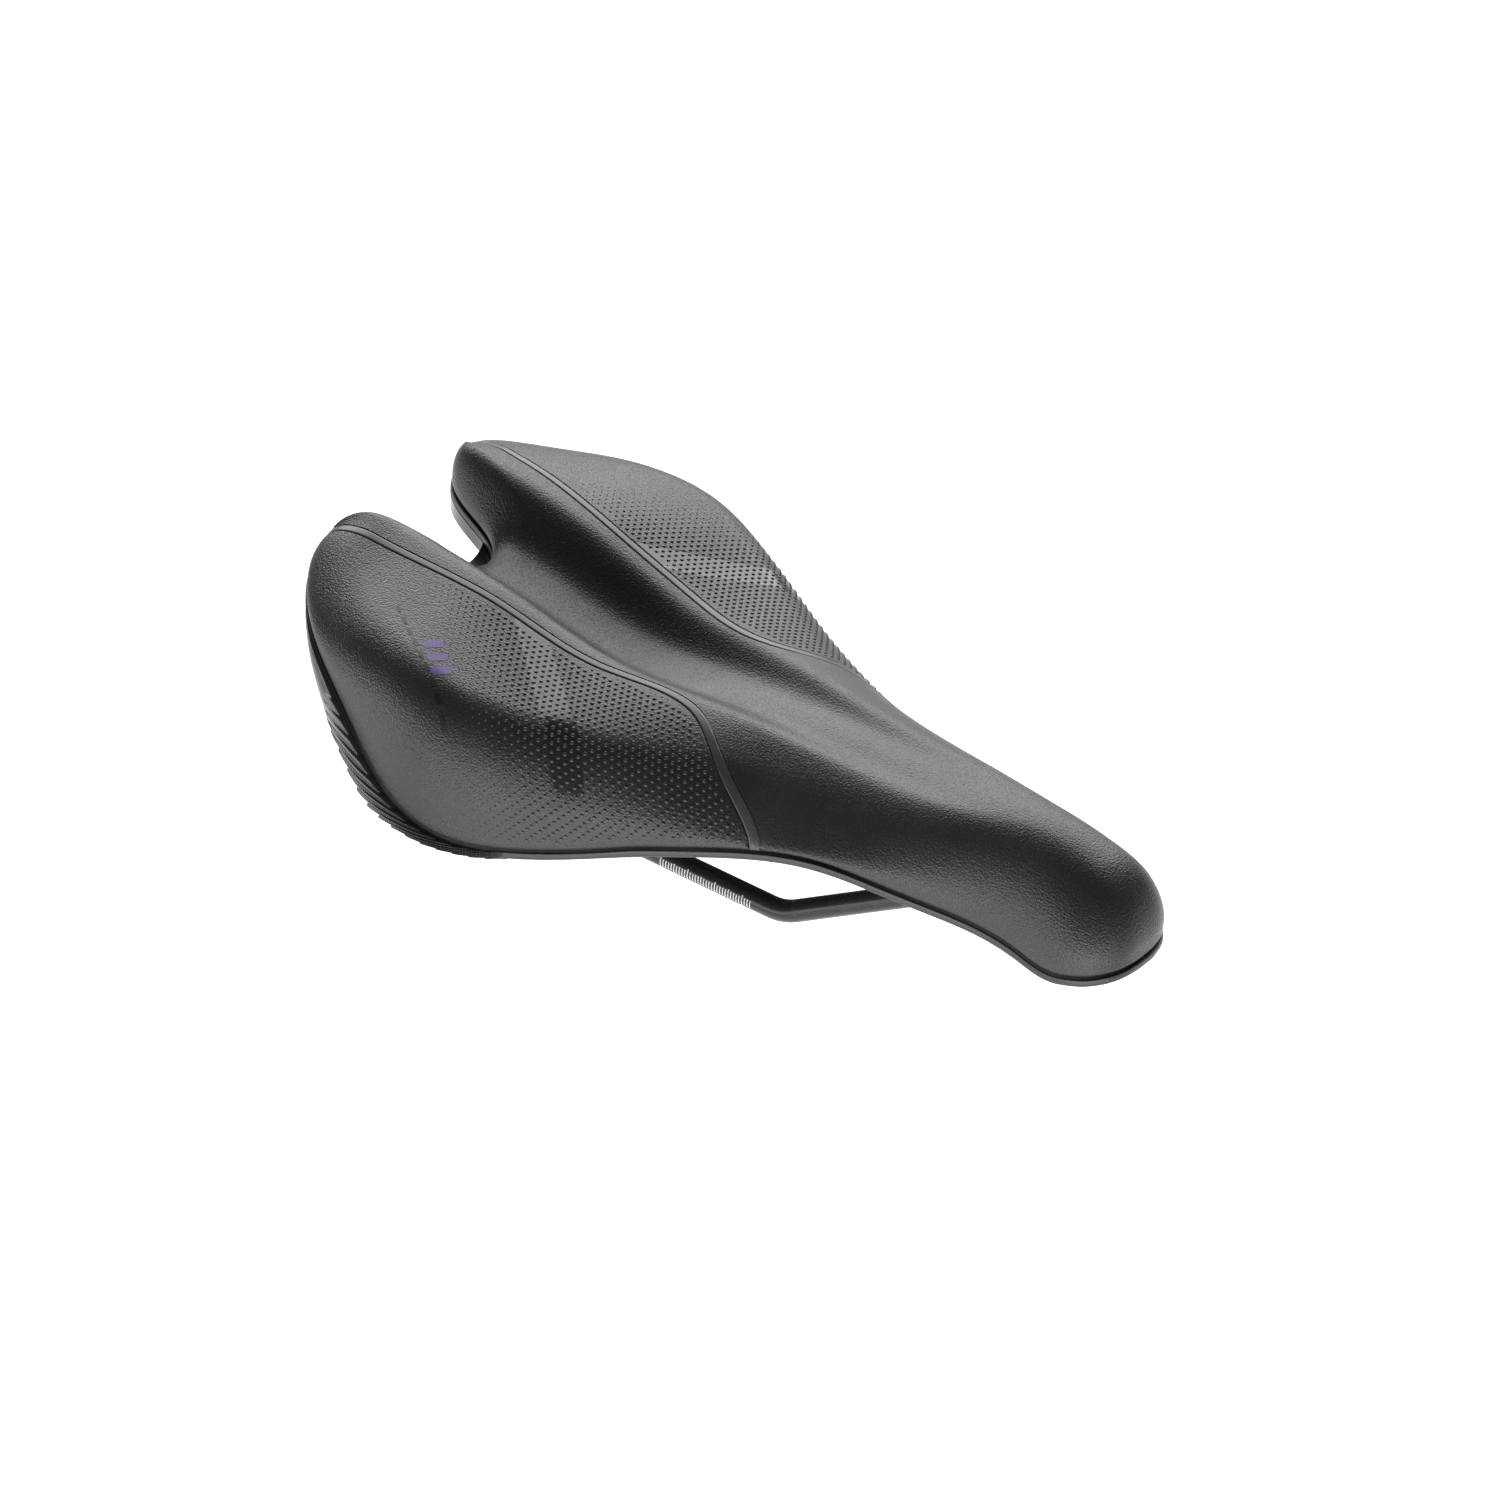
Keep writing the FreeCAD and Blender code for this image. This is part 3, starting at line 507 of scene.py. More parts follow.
@dataclass
class CoverPiece:
    """One piece of the cover as a strip of rows between two borders."""

    form: SaddleForm
    start: np.ndarray
    end: np.ndarray
    start_border: list[Border]
    end_border: list[Border]
    columns: int
    edge: CoverEdge

    def inner_grid(self) -> np.ndarray:
        """Surface points, rows by columns by three."""
        share = 0.5 * (1 - np.cos(np.pi * np.linspace(0.0, 1.0, self.columns)))
        return self.form.surface(between(self.start, self.end, share))

    def rolled(self, grid: np.ndarray) -> np.ndarray:
        """Grid with its seam borders rolled down."""
        normal = self.normals(grid)
        for border, kinds in ((0, self.start_border), (-1, self.end_border)):
            away = np.linalg.norm(grid - grid[:, border][:, None, :], axis=2)
            near = np.maximum(0.0, self.edge.roll - away)
            dip = self.edge.roll - np.sqrt(np.maximum(0.0, self.edge.roll ** 2 - near ** 2))
            seam = np.array([kind is Border.SEAM for kind in kinds])[:, None]
            grid = grid - normal * (dip * seam)[..., None]
        return grid

    @staticmethod
    def normals(grid: np.ndarray) -> np.ndarray:
        """Upward unit normals of a grid."""
        down = np.gradient(grid, axis=0)
        across = np.gradient(grid, axis=1)
        normal = np.cross(down, across)
        size = np.linalg.norm(normal, axis=2, keepdims=True)
        normal = np.where(size > TINY, normal / np.maximum(size, TINY), np.array([0.0, 0.0, 1.0]))
        return normal * np.where(normal[..., 2:] < 0, -1.0, 1.0)

    def skirt(self, grid: np.ndarray, border: int, kinds: list[Border]) -> np.ndarray:
        """Columns beyond a border, nearest first: a wall on the flank, a short drop at a seam."""
        line = grid[:, border]
        normal = self.normals(grid)[:, border]
        flank = self.edge.flank_wall(self.form, line[:, :2])[::-1]
        depth = self.edge.seam_depth * np.linspace(0.0, 1.0, len(flank) + 1)[1:]
        drop = line[None] - normal[None] * depth[:, None, None]
        level = np.repeat(line[None], len(flank), axis=0)
        is_flank, is_inner = (np.array([kind is wanted for kind in kinds])[None, :, None]
                              for wanted in (Border.FLANK, Border.INNER))
        return np.where(is_flank, flank, np.where(is_inner, level, drop)).transpose(1, 0, 2)

    def full_grid(self) -> np.ndarray:
        """Whole piece as a grid, skirts included."""
        grid = self.inner_grid()
        before = self.skirt(grid, 0, self.start_border)[:, ::-1]
        after = self.skirt(grid, -1, self.end_border)
        return np.concatenate([before, self.rolled(grid), after], axis=1)


# ---------------------------------------------------------------- node graphs


class Graph:
    """Adds nodes and links to one node tree."""

    def __init__(self, tree: bpy.types.NodeTree) -> None:
        """Keep the tree."""
        self.tree = tree

    def fill(self, node: bpy.types.Node, inputs: dict) -> None:
        """Give a node's inputs, by name or index, their values or the sockets that feed them."""
        for key, value in inputs.items():
            if isinstance(value, bpy.types.NodeSocket):
                self.tree.links.new(value, node.inputs[key])
            else:
                node.inputs[key].default_value = value

    def add(self, kind: str, inputs: dict | None = None, **settings: object) -> bpy.types.Node:
        """Add a node of a kind, with its properties set and its inputs filled."""
        node = self.tree.nodes.new(kind)
        for key, value in settings.items():
            setattr(node, key, value)
        self.fill(node, inputs or {})
        return node

    def out(self, kind: str, inputs: dict | None = None, **settings: object) -> Socket:
        """Add a node and return its first output."""
        return self.add(kind, inputs, **settings).outputs[0]

    def math(self, operation: str, *values: object, clamp: bool = False) -> Socket:
        """Math node's result."""
        return self.out("ShaderNodeMath", dict(enumerate(values)), operation=operation, use_clamp=clamp)

    def plus(self, a: object, b: object) -> Socket:
        """Sum of a and b."""
        return self.math("ADD", a, b)

    def minus(self, a: object, b: object, clamp: bool = False) -> Socket:
        """Difference of a and b."""
        return self.math("SUBTRACT", a, b, clamp=clamp)

    def times(self, a: object, b: object) -> Socket:
        """Product of a and b."""
        return self.math("MULTIPLY", a, b)

    def over(self, a: object, b: object) -> Socket:
        """Quotient of a and b."""
        return self.math("DIVIDE", a, b)

    def ramp(self, value: object, low: float, high: float, to_low: float = 0.0, to_high: float = 1.0) -> Socket:
        """Value eased from one range to another."""
        return self.out("ShaderNodeMapRange", {"Value": value, "From Min": low, "From Max": high, "To Min": to_low,
                                               "To Max": to_high}, interpolation_type="SMOOTHSTEP")

    def mix(self, share: object, a: object, b: object) -> Socket:
        """Colour between a and b."""
        return self.add("ShaderNodeMix", {0: share, 6: a, 7: b}, data_type="RGBA").outputs[2]

    def noise(self, place: Socket, scale: object, detail: float, **more: float) -> Socket:
        """Noise texture's factor."""
        inputs = {"Vector": place, "Scale": scale, "Detail": detail, **more}
        return self.add("ShaderNodeTexNoise", inputs).outputs["Fac"]

    def vector(self, operation: str, *values: object) -> Socket:
        """Vector math node's result."""
        return self.out("ShaderNodeVectorMath", dict(enumerate(values)), operation=operation)

    def scaled(self, vector: Socket, factor: object) -> Socket:
        """Vector times a factor."""
        return self.out("ShaderNodeVectorMath", {0: vector, "Scale": factor}, operation="SCALE")

    def named(self, name: str, kind: str = "FLOAT") -> Socket:
        """Attribute of the geometry by its name."""
        return self.out("GeometryNodeInputNamedAttribute", {"Name": name}, data_type=kind)

    def position(self) -> bpy.types.bpy_prop_collection:
        """Outputs with the X, Y and Z of the geometry's place."""
        return self.add("ShaderNodeSeparateXYZ", {0: self.out("GeometryNodeInputPosition")}).outputs

    def finish(self, geometry: Socket, material: Socket) -> None:
        """End a geometry tree with realised instances and one material."""
        real = self.out("GeometryNodeRealizeInstances", {"Geometry": geometry})
        painted = self.out("GeometryNodeSetMaterial", {"Geometry": real, "Material": material})
        self.add("NodeGroupOutput", {"Geometry": painted})


def group_tree(name: str, kind: str, inputs: dict[str, str], outputs: dict[str, str]) -> tuple:
    """New node group with named sockets.

    Args:
        name: Group name.
        kind: Tree type.
        inputs: Socket name to socket kind.
        outputs: Socket name to socket kind.

    Returns:
        The tree, its graph, and its input sockets by name.
    """
    tree = bpy.data.node_groups.new(name, kind)
    for way, sockets in (("INPUT", inputs), ("OUTPUT", outputs)):
        for key, socket in sockets.items():
            tree.interface.new_socket(key, in_out=way, socket_type=f"NodeSocket{socket}")
    graph = Graph(tree)
    entry = graph.add("NodeGroupInput")
    return tree, graph, {key: entry.outputs[key] for key in inputs}


# ---------------------------------------------------------------- finishes


class EffectGroups:
    """Shader effects that several finishes share."""

    @cached_property
    def grain(self) -> bpy.types.NodeTree:
        """Pebbled grain: a height, a slow change of tone and the valleys between the pebbles, as a mask for painted
        shade.
        """
        tree, graph, entry = group_tree(
            "pebble_grain", "ShaderNodeTree",
            {"Vector": "Vector", "Cells per metre": "Float", "Fine share": "Float"},
            {"Height": "Float", "Tone": "Float", "Valley": "Float"})
        place, scale, share = entry["Vector"], entry["Cells per metre"], entry["Fine share"]
        warp = graph.add("ShaderNodeTexNoise", {"Vector": place, "Scale": graph.times(scale, 0.35), "Detail": 2.0})
        shift = graph.vector("SUBTRACT", warp.outputs["Color"], (0.5, 0.5, 0.5))
        moved = graph.vector("ADD", place, graph.scaled(shift, GRAIN_WARP))
        cells = graph.add("ShaderNodeTexVoronoi", {"Vector": moved, "Scale": scale, "Randomness": 1.0},
                          feature="SMOOTH_F1")
        fine = graph.noise(place, graph.times(scale, 1.15), 2.0)
        pebble = graph.minus(1.0, cells.outputs["Distance"])
        height = graph.plus(graph.times(pebble, graph.minus(1.0, share)), graph.times(fine, share))
        graph.add("NodeGroupOutput", {"Height": height, "Tone": graph.noise(place, 38.0, 4.0, Roughness=0.6),
                                      "Valley": graph.ramp(pebble, 0.35, 0.75, 1.0, 0.0)})
        return tree

    @cached_property
    def handling(self) -> bpy.types.NodeTree:
        """Faint rubbed patches and settled dust that change roughness and colour."""
        tree, graph, entry = group_tree("handling_marks", "ShaderNodeTree", {"Vector": "Vector", "Amount": "Float"},
                                        {"Rub": "Float", "Dust": "Float"})
        broad = graph.noise(entry["Vector"], 22.0, 5.0, Roughness=0.65)
        fine = graph.noise(entry["Vector"], 900.0, 2.0)
        rub = graph.times(graph.ramp(broad, 0.42, 0.68), entry["Amount"])
        speck = graph.times(graph.ramp(fine, 0.62, 0.78), entry["Amount"])
        graph.add("NodeGroupOutput", {"Rub": rub, "Dust": graph.times(speck, graph.ramp(broad, 0.35, 0.6))})
        return tree


EFFECTS = EffectGroups()


def shade(colour: Colour, factor: float) -> tuple[float, float, float, float]:
    """Opaque colour scaled by a factor."""
    return (*(min(c * factor, 1.0) for c in colour), 1.0)


@dataclass(frozen=True)
class Wear:
    """How much use shows on a finish: uneven gloss, rubbed patches and pale specks of dust."""

    amount: float
    gloss: float
    rub: float
    dust: float
    pale: float


@dataclass(frozen=True)
class Finish:
    """Base of every finish: a Principled surface with a fine relief, its sizes in millimetres."""

    name: str
    colour: Colour
    roughness: float
    grain_mm: float = 0.35
    depth_mm: float = 0.02

    def build(self) -> bpy.types.Material:
        """Make the material."""
        material = bpy.data.materials.new(self.name)
        material.use_nodes = True
        graph = Graph(material.node_tree)
        height, inputs = self.look(graph, graph.add("ShaderNodeTexCoord").outputs["Object"])
        relief = graph.out("ShaderNodeBump", {"Height": height, "Distance": self.depth_mm * MM, "Strength": 1.0})
        graph.fill(material.node_tree.nodes["Principled BSDF"], {**inputs, "Normal": relief})
        return material

    def look(self, graph: Graph, place: Socket) -> Look:
        """Height of the relief and the surface's inputs."""
        raise NotImplementedError

    def tint(self, graph: Graph, share: object, low: float, high: float) -> Socket:
        """Colour between two shades of the finish's own."""
        return graph.mix(share, shade(self.colour, low), shade(self.colour, high))

    def grain(self, graph: Graph, place: Socket, fine_share: float) -> bpy.types.Node:
        """Pebbled grain of the finish's size."""
        return graph.add("ShaderNodeGroup", {"Vector": place, "Cells per metre": 1.0 / (self.grain_mm * MM),
                                             "Fine share": fine_share}, node_tree=EFFECTS.grain)

    def worn(self, graph: Graph, place: Socket, colour: Socket, change: Socket, wear: Wear) -> dict:
        """Colour and roughness after use, as inputs of the surface.

        Args:
            graph: Graph of the material.
            place: Object coordinates.
            colour: Colour before use.
            change: Value round 0.5 that makes the gloss uneven.
            wear: How much use shows.

        Returns:
            Socket of each input by its name.
        """
        marks = graph.add("ShaderNodeGroup", {"Vector": place, "Amount": wear.amount}, node_tree=EFFECTS.handling)
        dust = graph.times(marks.outputs["Dust"], wear.dust)
        rough = graph.plus(self.roughness, graph.times(graph.minus(change, 0.5), wear.gloss))
        return {"Base Color": graph.mix(dust, colour, shade(self.colour, wear.pale)),
                "Roughness": graph.minus(rough, graph.times(marks.outputs["Rub"], wear.rub), clamp=True)}


@dataclass(frozen=True)
class LeatherFinish(Finish):
    """Synthetic leather with a pebbled grain, and a glossier stripe where a piece has one."""

    grain_mm: float = 0.62
    depth_mm: float = 0.3
    fine_share: float = 0.6
    stripe: bool = False
    stripe_roughness: float = 0.2
    wear: Wear = Wear(amount=0.5, gloss=0.12, rub=0.08, dust=0.25, pale=3.0)

    def look(self, graph: Graph, place: Socket) -> Look:
        """Grain with painted shade in its valleys, and smoother and darker along the stripe."""
        grain = self.grain(graph, place, self.fine_share)
        tone, height = grain.outputs["Tone"], grain.outputs["Height"]
        colour = self.tint(graph, graph.ramp(tone, 0.3, 0.7), 0.88, 1.12)
        # painted shade: the grain's valleys are darkened towards a dark shade of the leather
        colour = graph.mix(graph.times(grain.outputs["Valley"], 0.3), colour, shade(self.colour, 0.45))
        inputs = self.worn(graph, place, colour, tone, self.wear)
        if self.stripe:
            mask = graph.ramp(graph.add("ShaderNodeAttribute", attribute_name="stripe").outputs["Fac"], 0.2, 0.7)
            colour, rough = inputs["Base Color"], inputs["Roughness"]
            inputs["Base Color"] = graph.mix(graph.times(mask, 0.5), colour, shade(self.colour, 0.75))
            inputs["Roughness"] = graph.out("ShaderNodeMix", {0: mask, 2: rough, 3: self.stripe_roughness})
            height = graph.times(height, graph.minus(1.0, graph.times(mask, 0.8)))
        return height, {**inputs, "Specular IOR Level": 0.5, "Sheen Weight": 0.05, "Sheen Roughness": 0.4}


@dataclass(frozen=True)
class PlasticFinish(Finish):
    """Moulded plastic with a spark-eroded texture, satin or gloss."""

    coat: float = 0.0
    wear: Wear = Wear(amount=0.6, gloss=0.1, rub=0.06, dust=0.3, pale=4.0)

    def look(self, graph: Graph, place: Socket) -> Look:
        """Fine texture over slow flow marks."""
        fine = graph.noise(place, 1.0 / (self.grain_mm * MM), 3.0)
        flow = graph.noise(place, 30.0, 3.0, Distortion=0.6)
        colour = self.tint(graph, graph.ramp(flow, 0.35, 0.65), 0.85, 1.15)
        inputs = self.worn(graph, place, colour, fine, self.wear)
        height = graph.plus(fine, graph.times(flow, 0.5))
        return height, {**inputs, "Coat Weight": self.coat, "Coat Roughness": 0.08}


@dataclass(frozen=True)
class SteelFinish(Finish):
    """Steel with drawing lines along X, coated or bare."""

    depth_mm: float = 0.01
    metallic: float = 0.6
    line_stretch: float = 0.02
    wear: Wear = Wear(amount=0.7, gloss=0.14, rub=0.08, dust=0.3, pale=4.0)

    def look(self, graph: Graph, place: Socket) -> Look:
        """Drawing lines over the slight waves of the coat."""
        drawn = graph.out("ShaderNodeMapping", {"Vector": place, "Scale": (self.line_stretch, 1.0, 1.0)})
        lines = graph.noise(drawn, 2600.0, 4.0)
        colour = self.tint(graph, graph.ramp(lines, 0.35, 0.65), 0.85, 1.2)
        inputs = self.worn(graph, place, colour, lines, self.wear)
        height = graph.plus(graph.times(lines, 0.5), graph.noise(place, 420.0, 2.0))
        return height, {**inputs, "Metallic": self.metallic}


@dataclass(frozen=True)
class PrintFinish(Finish):
    """Screen-printed ink with slightly broken cover."""

    depth_mm: float = 0.008

    def look(self, graph: Graph, place: Socket) -> Look:
        """Ink, thinner and rougher in specks."""
        fine = graph.noise(place, 2400.0, 3.0)
        rough = graph.ramp(fine, 0.3, 0.7, self.roughness + 0.1, self.roughness - 0.1)
        return fine, {"Base Color": self.tint(graph, graph.ramp(fine, 0.34, 0.5), 0.6, 1.0), "Roughness": rough}


@dataclass(frozen=True)
class SoftCoreFinish(Finish):
    """Foam, gel or rubber: matt, with closed cells or a moulded skin."""

    grain_mm: float = 0.6
    depth_mm: float = 0.1

    def look(self, graph: Graph, place: Socket) -> Look:
        """Cells, with painted shade between them."""
        grain = self.grain(graph, place, 0.5)
        rough = graph.ramp(grain.outputs["Tone"], 0.3, 0.7, self.roughness - 0.06, self.roughness + 0.06)
        # painted shade: the colour is darker between the cells
        colour = self.tint(graph, grain.outputs["Valley"], 1.1, 0.6)
        return grain.outputs["Height"], {"Base Color": colour, "Roughness": rough}


@dataclass(frozen=True)
class PaperFinish(Finish):
    """Pale studio paper, lit a little from behind."""

    glow: float = 0.85

    def look(self, graph: Graph, place: Socket) -> Look:
        """Faint fibres and a glow."""
        fine = graph.noise(place, 260.0, 4.0)
        return fine, {"Base Color": self.tint(graph, graph.ramp(fine, 0.3, 0.7), 0.995, 1.0),
                      "Roughness": self.roughness, "Specular IOR Level": 0.1, "Emission Color": WHITE,
                      "Emission Strength": self.glow}


class Finishes:
    """Every finish of the saddle, made once."""

    def __init__(self) -> None:
        """Build the materials."""
        self.centre = LeatherFinish("centre_leather", (0.024, 0.024, 0.0255), 0.40).build()
        self.side = LeatherFinish("side_leather", (0.023, 0.023, 0.0245), 0.38, stripe=True).build()
        self.band = LeatherFinish("band_leather", (0.062, 0.062, 0.064), 0.34, 0.5, 0.015).build()
        # pips: a lighter copy of the side leather, painted highlight on the raised pips
        self.pip = LeatherFinish("pip_leather", (0.045, 0.045, 0.047), 0.3, 0.4, 0.01).build()
        self.shell = PlasticFinish("shell_plastic", (0.03, 0.03, 0.032), 0.42).build()
        self.gloss = PlasticFinish("gloss_black", (0.012, 0.012, 0.013), 0.16, depth_mm=0.004, coat=0.6).build()
        self.bumper = PlasticFinish("bumper_plastic", (0.014, 0.014, 0.015), 0.22, depth_mm=0.006, coat=0.3).build()
        self.collar = PlasticFinish("collar_plastic", (0.04, 0.04, 0.042), 0.45).build()
        self.rail = SteelFinish("rail_steel", (0.025, 0.025, 0.027), 0.3, metallic=0.35).build()
        self.screw = SteelFinish("screw_steel", (0.3, 0.3, 0.31), 0.32, metallic=1.0, line_stretch=1.0).build()
        self.tick = PrintFinish("white_print", (0.75, 0.75, 0.76), 0.5).build()
        # dashes: near-black patches of painted shade for the pressed-in dashes
        self.press = PlasticFinish("pressed_leather", (0.006, 0.006, 0.006), 0.5).build()
        self.mark = PrintFinish("violet_print", (0.13, 0.05, 0.3), 0.42).build()
        self.foam = SoftCoreFinish("foam", (0.16, 0.16, 0.17), 0.85).build()
        self.gel = SoftCoreFinish("gel", (0.1, 0.1, 0.11), 0.35, grain_mm=3.0, depth_mm=0.02).build()
        self.rubber = SoftCoreFinish("bush_rubber", (0.02, 0.02, 0.02), 0.7, grain_mm=0.3, depth_mm=0.02).build()


def dress(piece: bpy.types.Object, material: bpy.types.Material) -> None:
    """Give a piece one material over all its faces."""
    if not piece.data.materials:
        piece.data.materials.append(material)
    for slot in piece.material_slots:
        slot.material = material


def declare(piece: bpy.types.Object, material: bpy.types.Material, node: str | None = None) -> bpy.types.Object:
    """Dress a piece and tell the frame about it.

    Args:
        piece: Piece that rides on the root.
        material: Finish of the piece.
        node: CAD node that the piece stands for, if any.

    Returns:
        The piece.
    """
    dress(piece, material)
    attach(piece, ROOT)
    if node:
        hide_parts(node)
    LOG.info("%s: %d faces", piece.name, len(piece.data.polygons))
    return piece


# ---------------------------------------------------------------- padded cover


@dataclass
class PaddedCover:
    """Centre cover, side panels and seam bands, each its own piece."""

    form: SaddleForm
    finishes: Finishes
    band_width: float = 3.0
    band_gap: float = 0.1
    band_rise: float = 0.1
    band_dip: float = 0.2
    band_columns: int = 9
    band_drops: int = 3
    rows_per_mm: float = 0.8
    nose_turn: float = 14.0
    nose_stop: float = 22.0
    nose_fan: float = 8.0
    nose_rows: int = 26
    notch_share: float = 0.3
    fan_share: float = 0.38
    centre_columns: int = 72
    panel_columns: int = 60
    pattern_lean: float = 1.2
    pips_from: float = -92.0
    pips_fade: float = 40.0
    pip_margin: float = 1.4
    stripe_at: float = -37.4
    stripe_half: float = 9.2
    stripe_low: float = 34.0
    stripe_ease: float = 10.0
    edge: CoverEdge = field(default_factory=CoverEdge)

    def seam_line(self, offset: float) -> np.ndarray:
        """Seam line moved outwards by offset, cut where it meets the outline, rear to front."""
        line = self.form.seam + side_step(self.form.seam) * offset
        line = line[self.form.crossing(line, False):self.form.crossing(line, True) + 1].copy()
        for end in (0, -1):
            line[end] = self.form.left_half[self.form.nearest_on_half(line[end])]
        return line

    def count(self, line: np.ndarray) -> int:
        """Rows for a run of this length."""
        return max(6, int(lengths(line)[-1] * self.rows_per_mm))

    def side_panel(self) -> CoverPiece:
        """Left side panel: flank on the outside, seam on the inside."""
        seam = self.seam_line(self.band_width / 2)
        rear = self.form.nearest_on_half(seam[0])
        front = self.form.nearest_on_half(seam[-1])
        flank = self.form.left_half[front:rear + 1][::-1]
        rows = self.count(flank)
        return CoverPiece(self.form, resample(flank, rows), resample(seam, rows), [Border.FLANK] * rows,
                          [Border.SEAM] * rows, self.panel_columns, self.edge)

    def centre_cover(self) -> CoverPiece:
        """Left half of the centre cover: seam and nose outside, notch and centre line inside."""
        seam = self.seam_line(-self.band_width / 2)
        half = self.form.left_half
        rear = self.form.nearest_on_half(seam[0])
        front = self.form.nearest_on_half(seam[-1])
        notch = half[rear:]
        nose_turn = int(np.argmin(np.abs(half[:front, 0] - (self.form.nose_x - self.nose_turn))))
        flank = half[nose_turn:front + 1][::-1]
        nose = half[:nose_turn + 1][::-1]
        split = int(len(seam) * self.notch_share)
        turn_x = (1 - self.fan_share) * seam[-1, 0] + self.fan_share * self.form.notch_x
        stop_x = self.form.nose_x - self.nose_stop
        mid_x = stop_x - self.nose_fan
        stops = (self.form.notch_x, turn_x, mid_x, stop_x)
        centre = [np.array([[a, 0.0], [b, 0.0]]) for a, b in zip(stops, stops[1:])]
        counts = [self.count(notch), self.count(seam[split:]), self.count(flank), self.nose_rows]
        start = join_runs([seam[:split + 1], seam[split:], flank, nose], counts)
        end = join_runs([notch, *centre], counts)
        kinds_start = [Border.SEAM] * (counts[0] + counts[1]) + [Border.FLANK] * (counts[2] + counts[3] + 1)
        kinds_end = [Border.FLANK] * (counts[0] + 1) + [Border.INNER] * (sum(counts[1:]))
        return CoverPiece(self.form, start, end, kinds_start, kinds_end, self.centre_columns, self.edge)

    def band_grid(self) -> np.ndarray:
        """Left seam band as a grid, with its side drops and its ends down the flank."""
        half_width = self.band_width / 2 - self.band_gap
        offsets = np.linspace(half_width, -half_width, self.band_columns)
        lines = [self.seam_line(float(offset)) for offset in offsets]
        rows = self.count(lines[0])
        grid = self.form.surface(np.stack([resample(line, rows) for line in lines], axis=1))
        normal = CoverPiece.normals(grid)
        round_top = np.sqrt(np.maximum(0.0, 1.0 - (offsets / half_width) ** 8))
        swell = round_top * (self.band_rise + self.band_dip) - self.band_dip
        raised = grid + normal * swell[None, :, None]
        depth = np.linspace(0.0, self.edge.seam_depth, self.band_drops + 1)[1:]
        before = raised[:, :1] - normal[:, :1] * depth[::-1][None, :, None]
        after = raised[:, -1:] - normal[:, -1:] * depth[None, :, None]
        body = np.concatenate([before, raised, after], axis=1)
        push = np.concatenate([swell[0] - depth[::-1], swell, swell[-1] - depth])
        column = np.clip(np.arange(len(push)) - self.band_drops, 0, self.band_columns - 1)
        ends = []
        for row in (0, -1):
            line = grid[row, :, :2]
            wall = self.edge.flank_wall(self.form, line)
            outward = wall[-1][:, :2] - wall[0][:, :2]
            outward /= np.linalg.norm(outward, axis=1)[:, None]
            wide = wall[:, column]
            wide[..., :2] += outward[column][None] * push[None, :, None]
            ends.append(wide)
        return np.concatenate([ends[0], body, ends[1][::-1]], axis=0)

    def object_from(self, name: str, grid: np.ndarray, mirror: bool, uv: np.ndarray | None = None,
                    values: dict[str, np.ndarray] | None = None) -> bpy.types.Object:
        """Mesh object from a left-hand grid, mirrored to the right if asked."""
        rows, columns = grid.shape[:2]
        points = grid.reshape(-1, 3) * (MIRROR if mirror else 1.0)
        piece = mesh_object(name, points, grid_faces(rows, columns, flip=mirror), uv, values)
        tidy_mesh(piece, recalc=False)
        return piece

    def build_centre(self) -> None:
        """Whole centre cover: the left half joined to its mirror image."""
        piece = both_halves("centre_cover_skin", self.centre_cover().full_grid())
        tidy_mesh(piece, recalc=False)
        declare(piece, self.finishes.centre, "centre_cover")

    def pattern(self, grid: np.ndarray, down: np.ndarray) -> dict[str, np.ndarray]:
        """Where the panel carries pips and where its glossy stripe runs, at each vertex."""
        lean = grid[..., 0] - self.pattern_lean * (grid[..., 1] - self.form.wing_tip_y)
        hem = self.edge.hem_rows
        room = np.minimum(down, down[:, hem:hem + 1] - down) - self.pip_margin
        fade = np.clip((lean - self.pips_from) / self.pips_fade, 0.0, 1.0) * np.clip(room, 0.0, 1.0)
        stripe = np.clip(1.0 - np.abs(lean - self.stripe_at) / self.stripe_half, 0.0, 0.5) * 2.0
        stripe *= np.clip((grid[..., 2] - self.stripe_low) / self.stripe_ease, 0.0, 1.0)
        return {"pip_size": fade.ravel(), "stripe": stripe.ravel()}

    def down_the_panel(self, grid: np.ndarray) -> np.ndarray:
        """Distance from the seam at each vertex, measured over the surface in millimetres."""
        return self.summed(grid, (0, 1, 2))

    def summed(self, grid: np.ndarray, axes: tuple[int, ...]) -> np.ndarray:
        """Distance from the seam along each row of a panel's grid, over some of the axes."""
        step = np.linalg.norm(np.diff(grid[:, ::-1][..., axes], axis=1), axis=2)
        down = np.concatenate([np.zeros((len(grid), 1)), np.cumsum(step, axis=1)], axis=1)[:, ::-1]
        return down - down[:, [-self.edge.steps - 1]]

    def pip_map(self, grid: np.ndarray) -> np.ndarray:
        """Texture place of each vertex: along the saddle and round it from the middle, in millimetres."""
        girth = grid[:, [-self.edge.steps - 1], 1] + self.summed(grid, (1, 2))
        return np.stack([grid[..., 0] - self.form.rear_x + UV_MARGIN, girth], axis=2)

    def panels(self) -> dict[Side, bpy.types.Object]:
        """Both side panels, not yet declared to the frame."""
        grid = self.side_panel().full_grid()
        down = self.down_the_panel(grid)
        uv = (self.pip_map(grid) / UV_SPAN).reshape(-1, 2)
        values = self.pattern(grid, down)
        return {side: self.object_from(f"side_panel_{side.label}_skin", grid, side is Side.RIGHT, uv, values)
                for side in Side}

    def build(self, panels: dict[Side, bpy.types.Object]) -> None:
        """Finish the panels and make the centre cover and the seam bands."""
        self.build_centre()
        band = self.band_grid()
        for side, skin in panels.items():
            declare(skin, self.finishes.side, f"side_panel_{side.label}")
            strip = self.object_from(f"seam_band_{side.label}_strip", band, side is Side.RIGHT)
            declare(strip, self.finishes.band, f"seam_band_{side.label}")


# ---------------------------------------------------------------- grown details


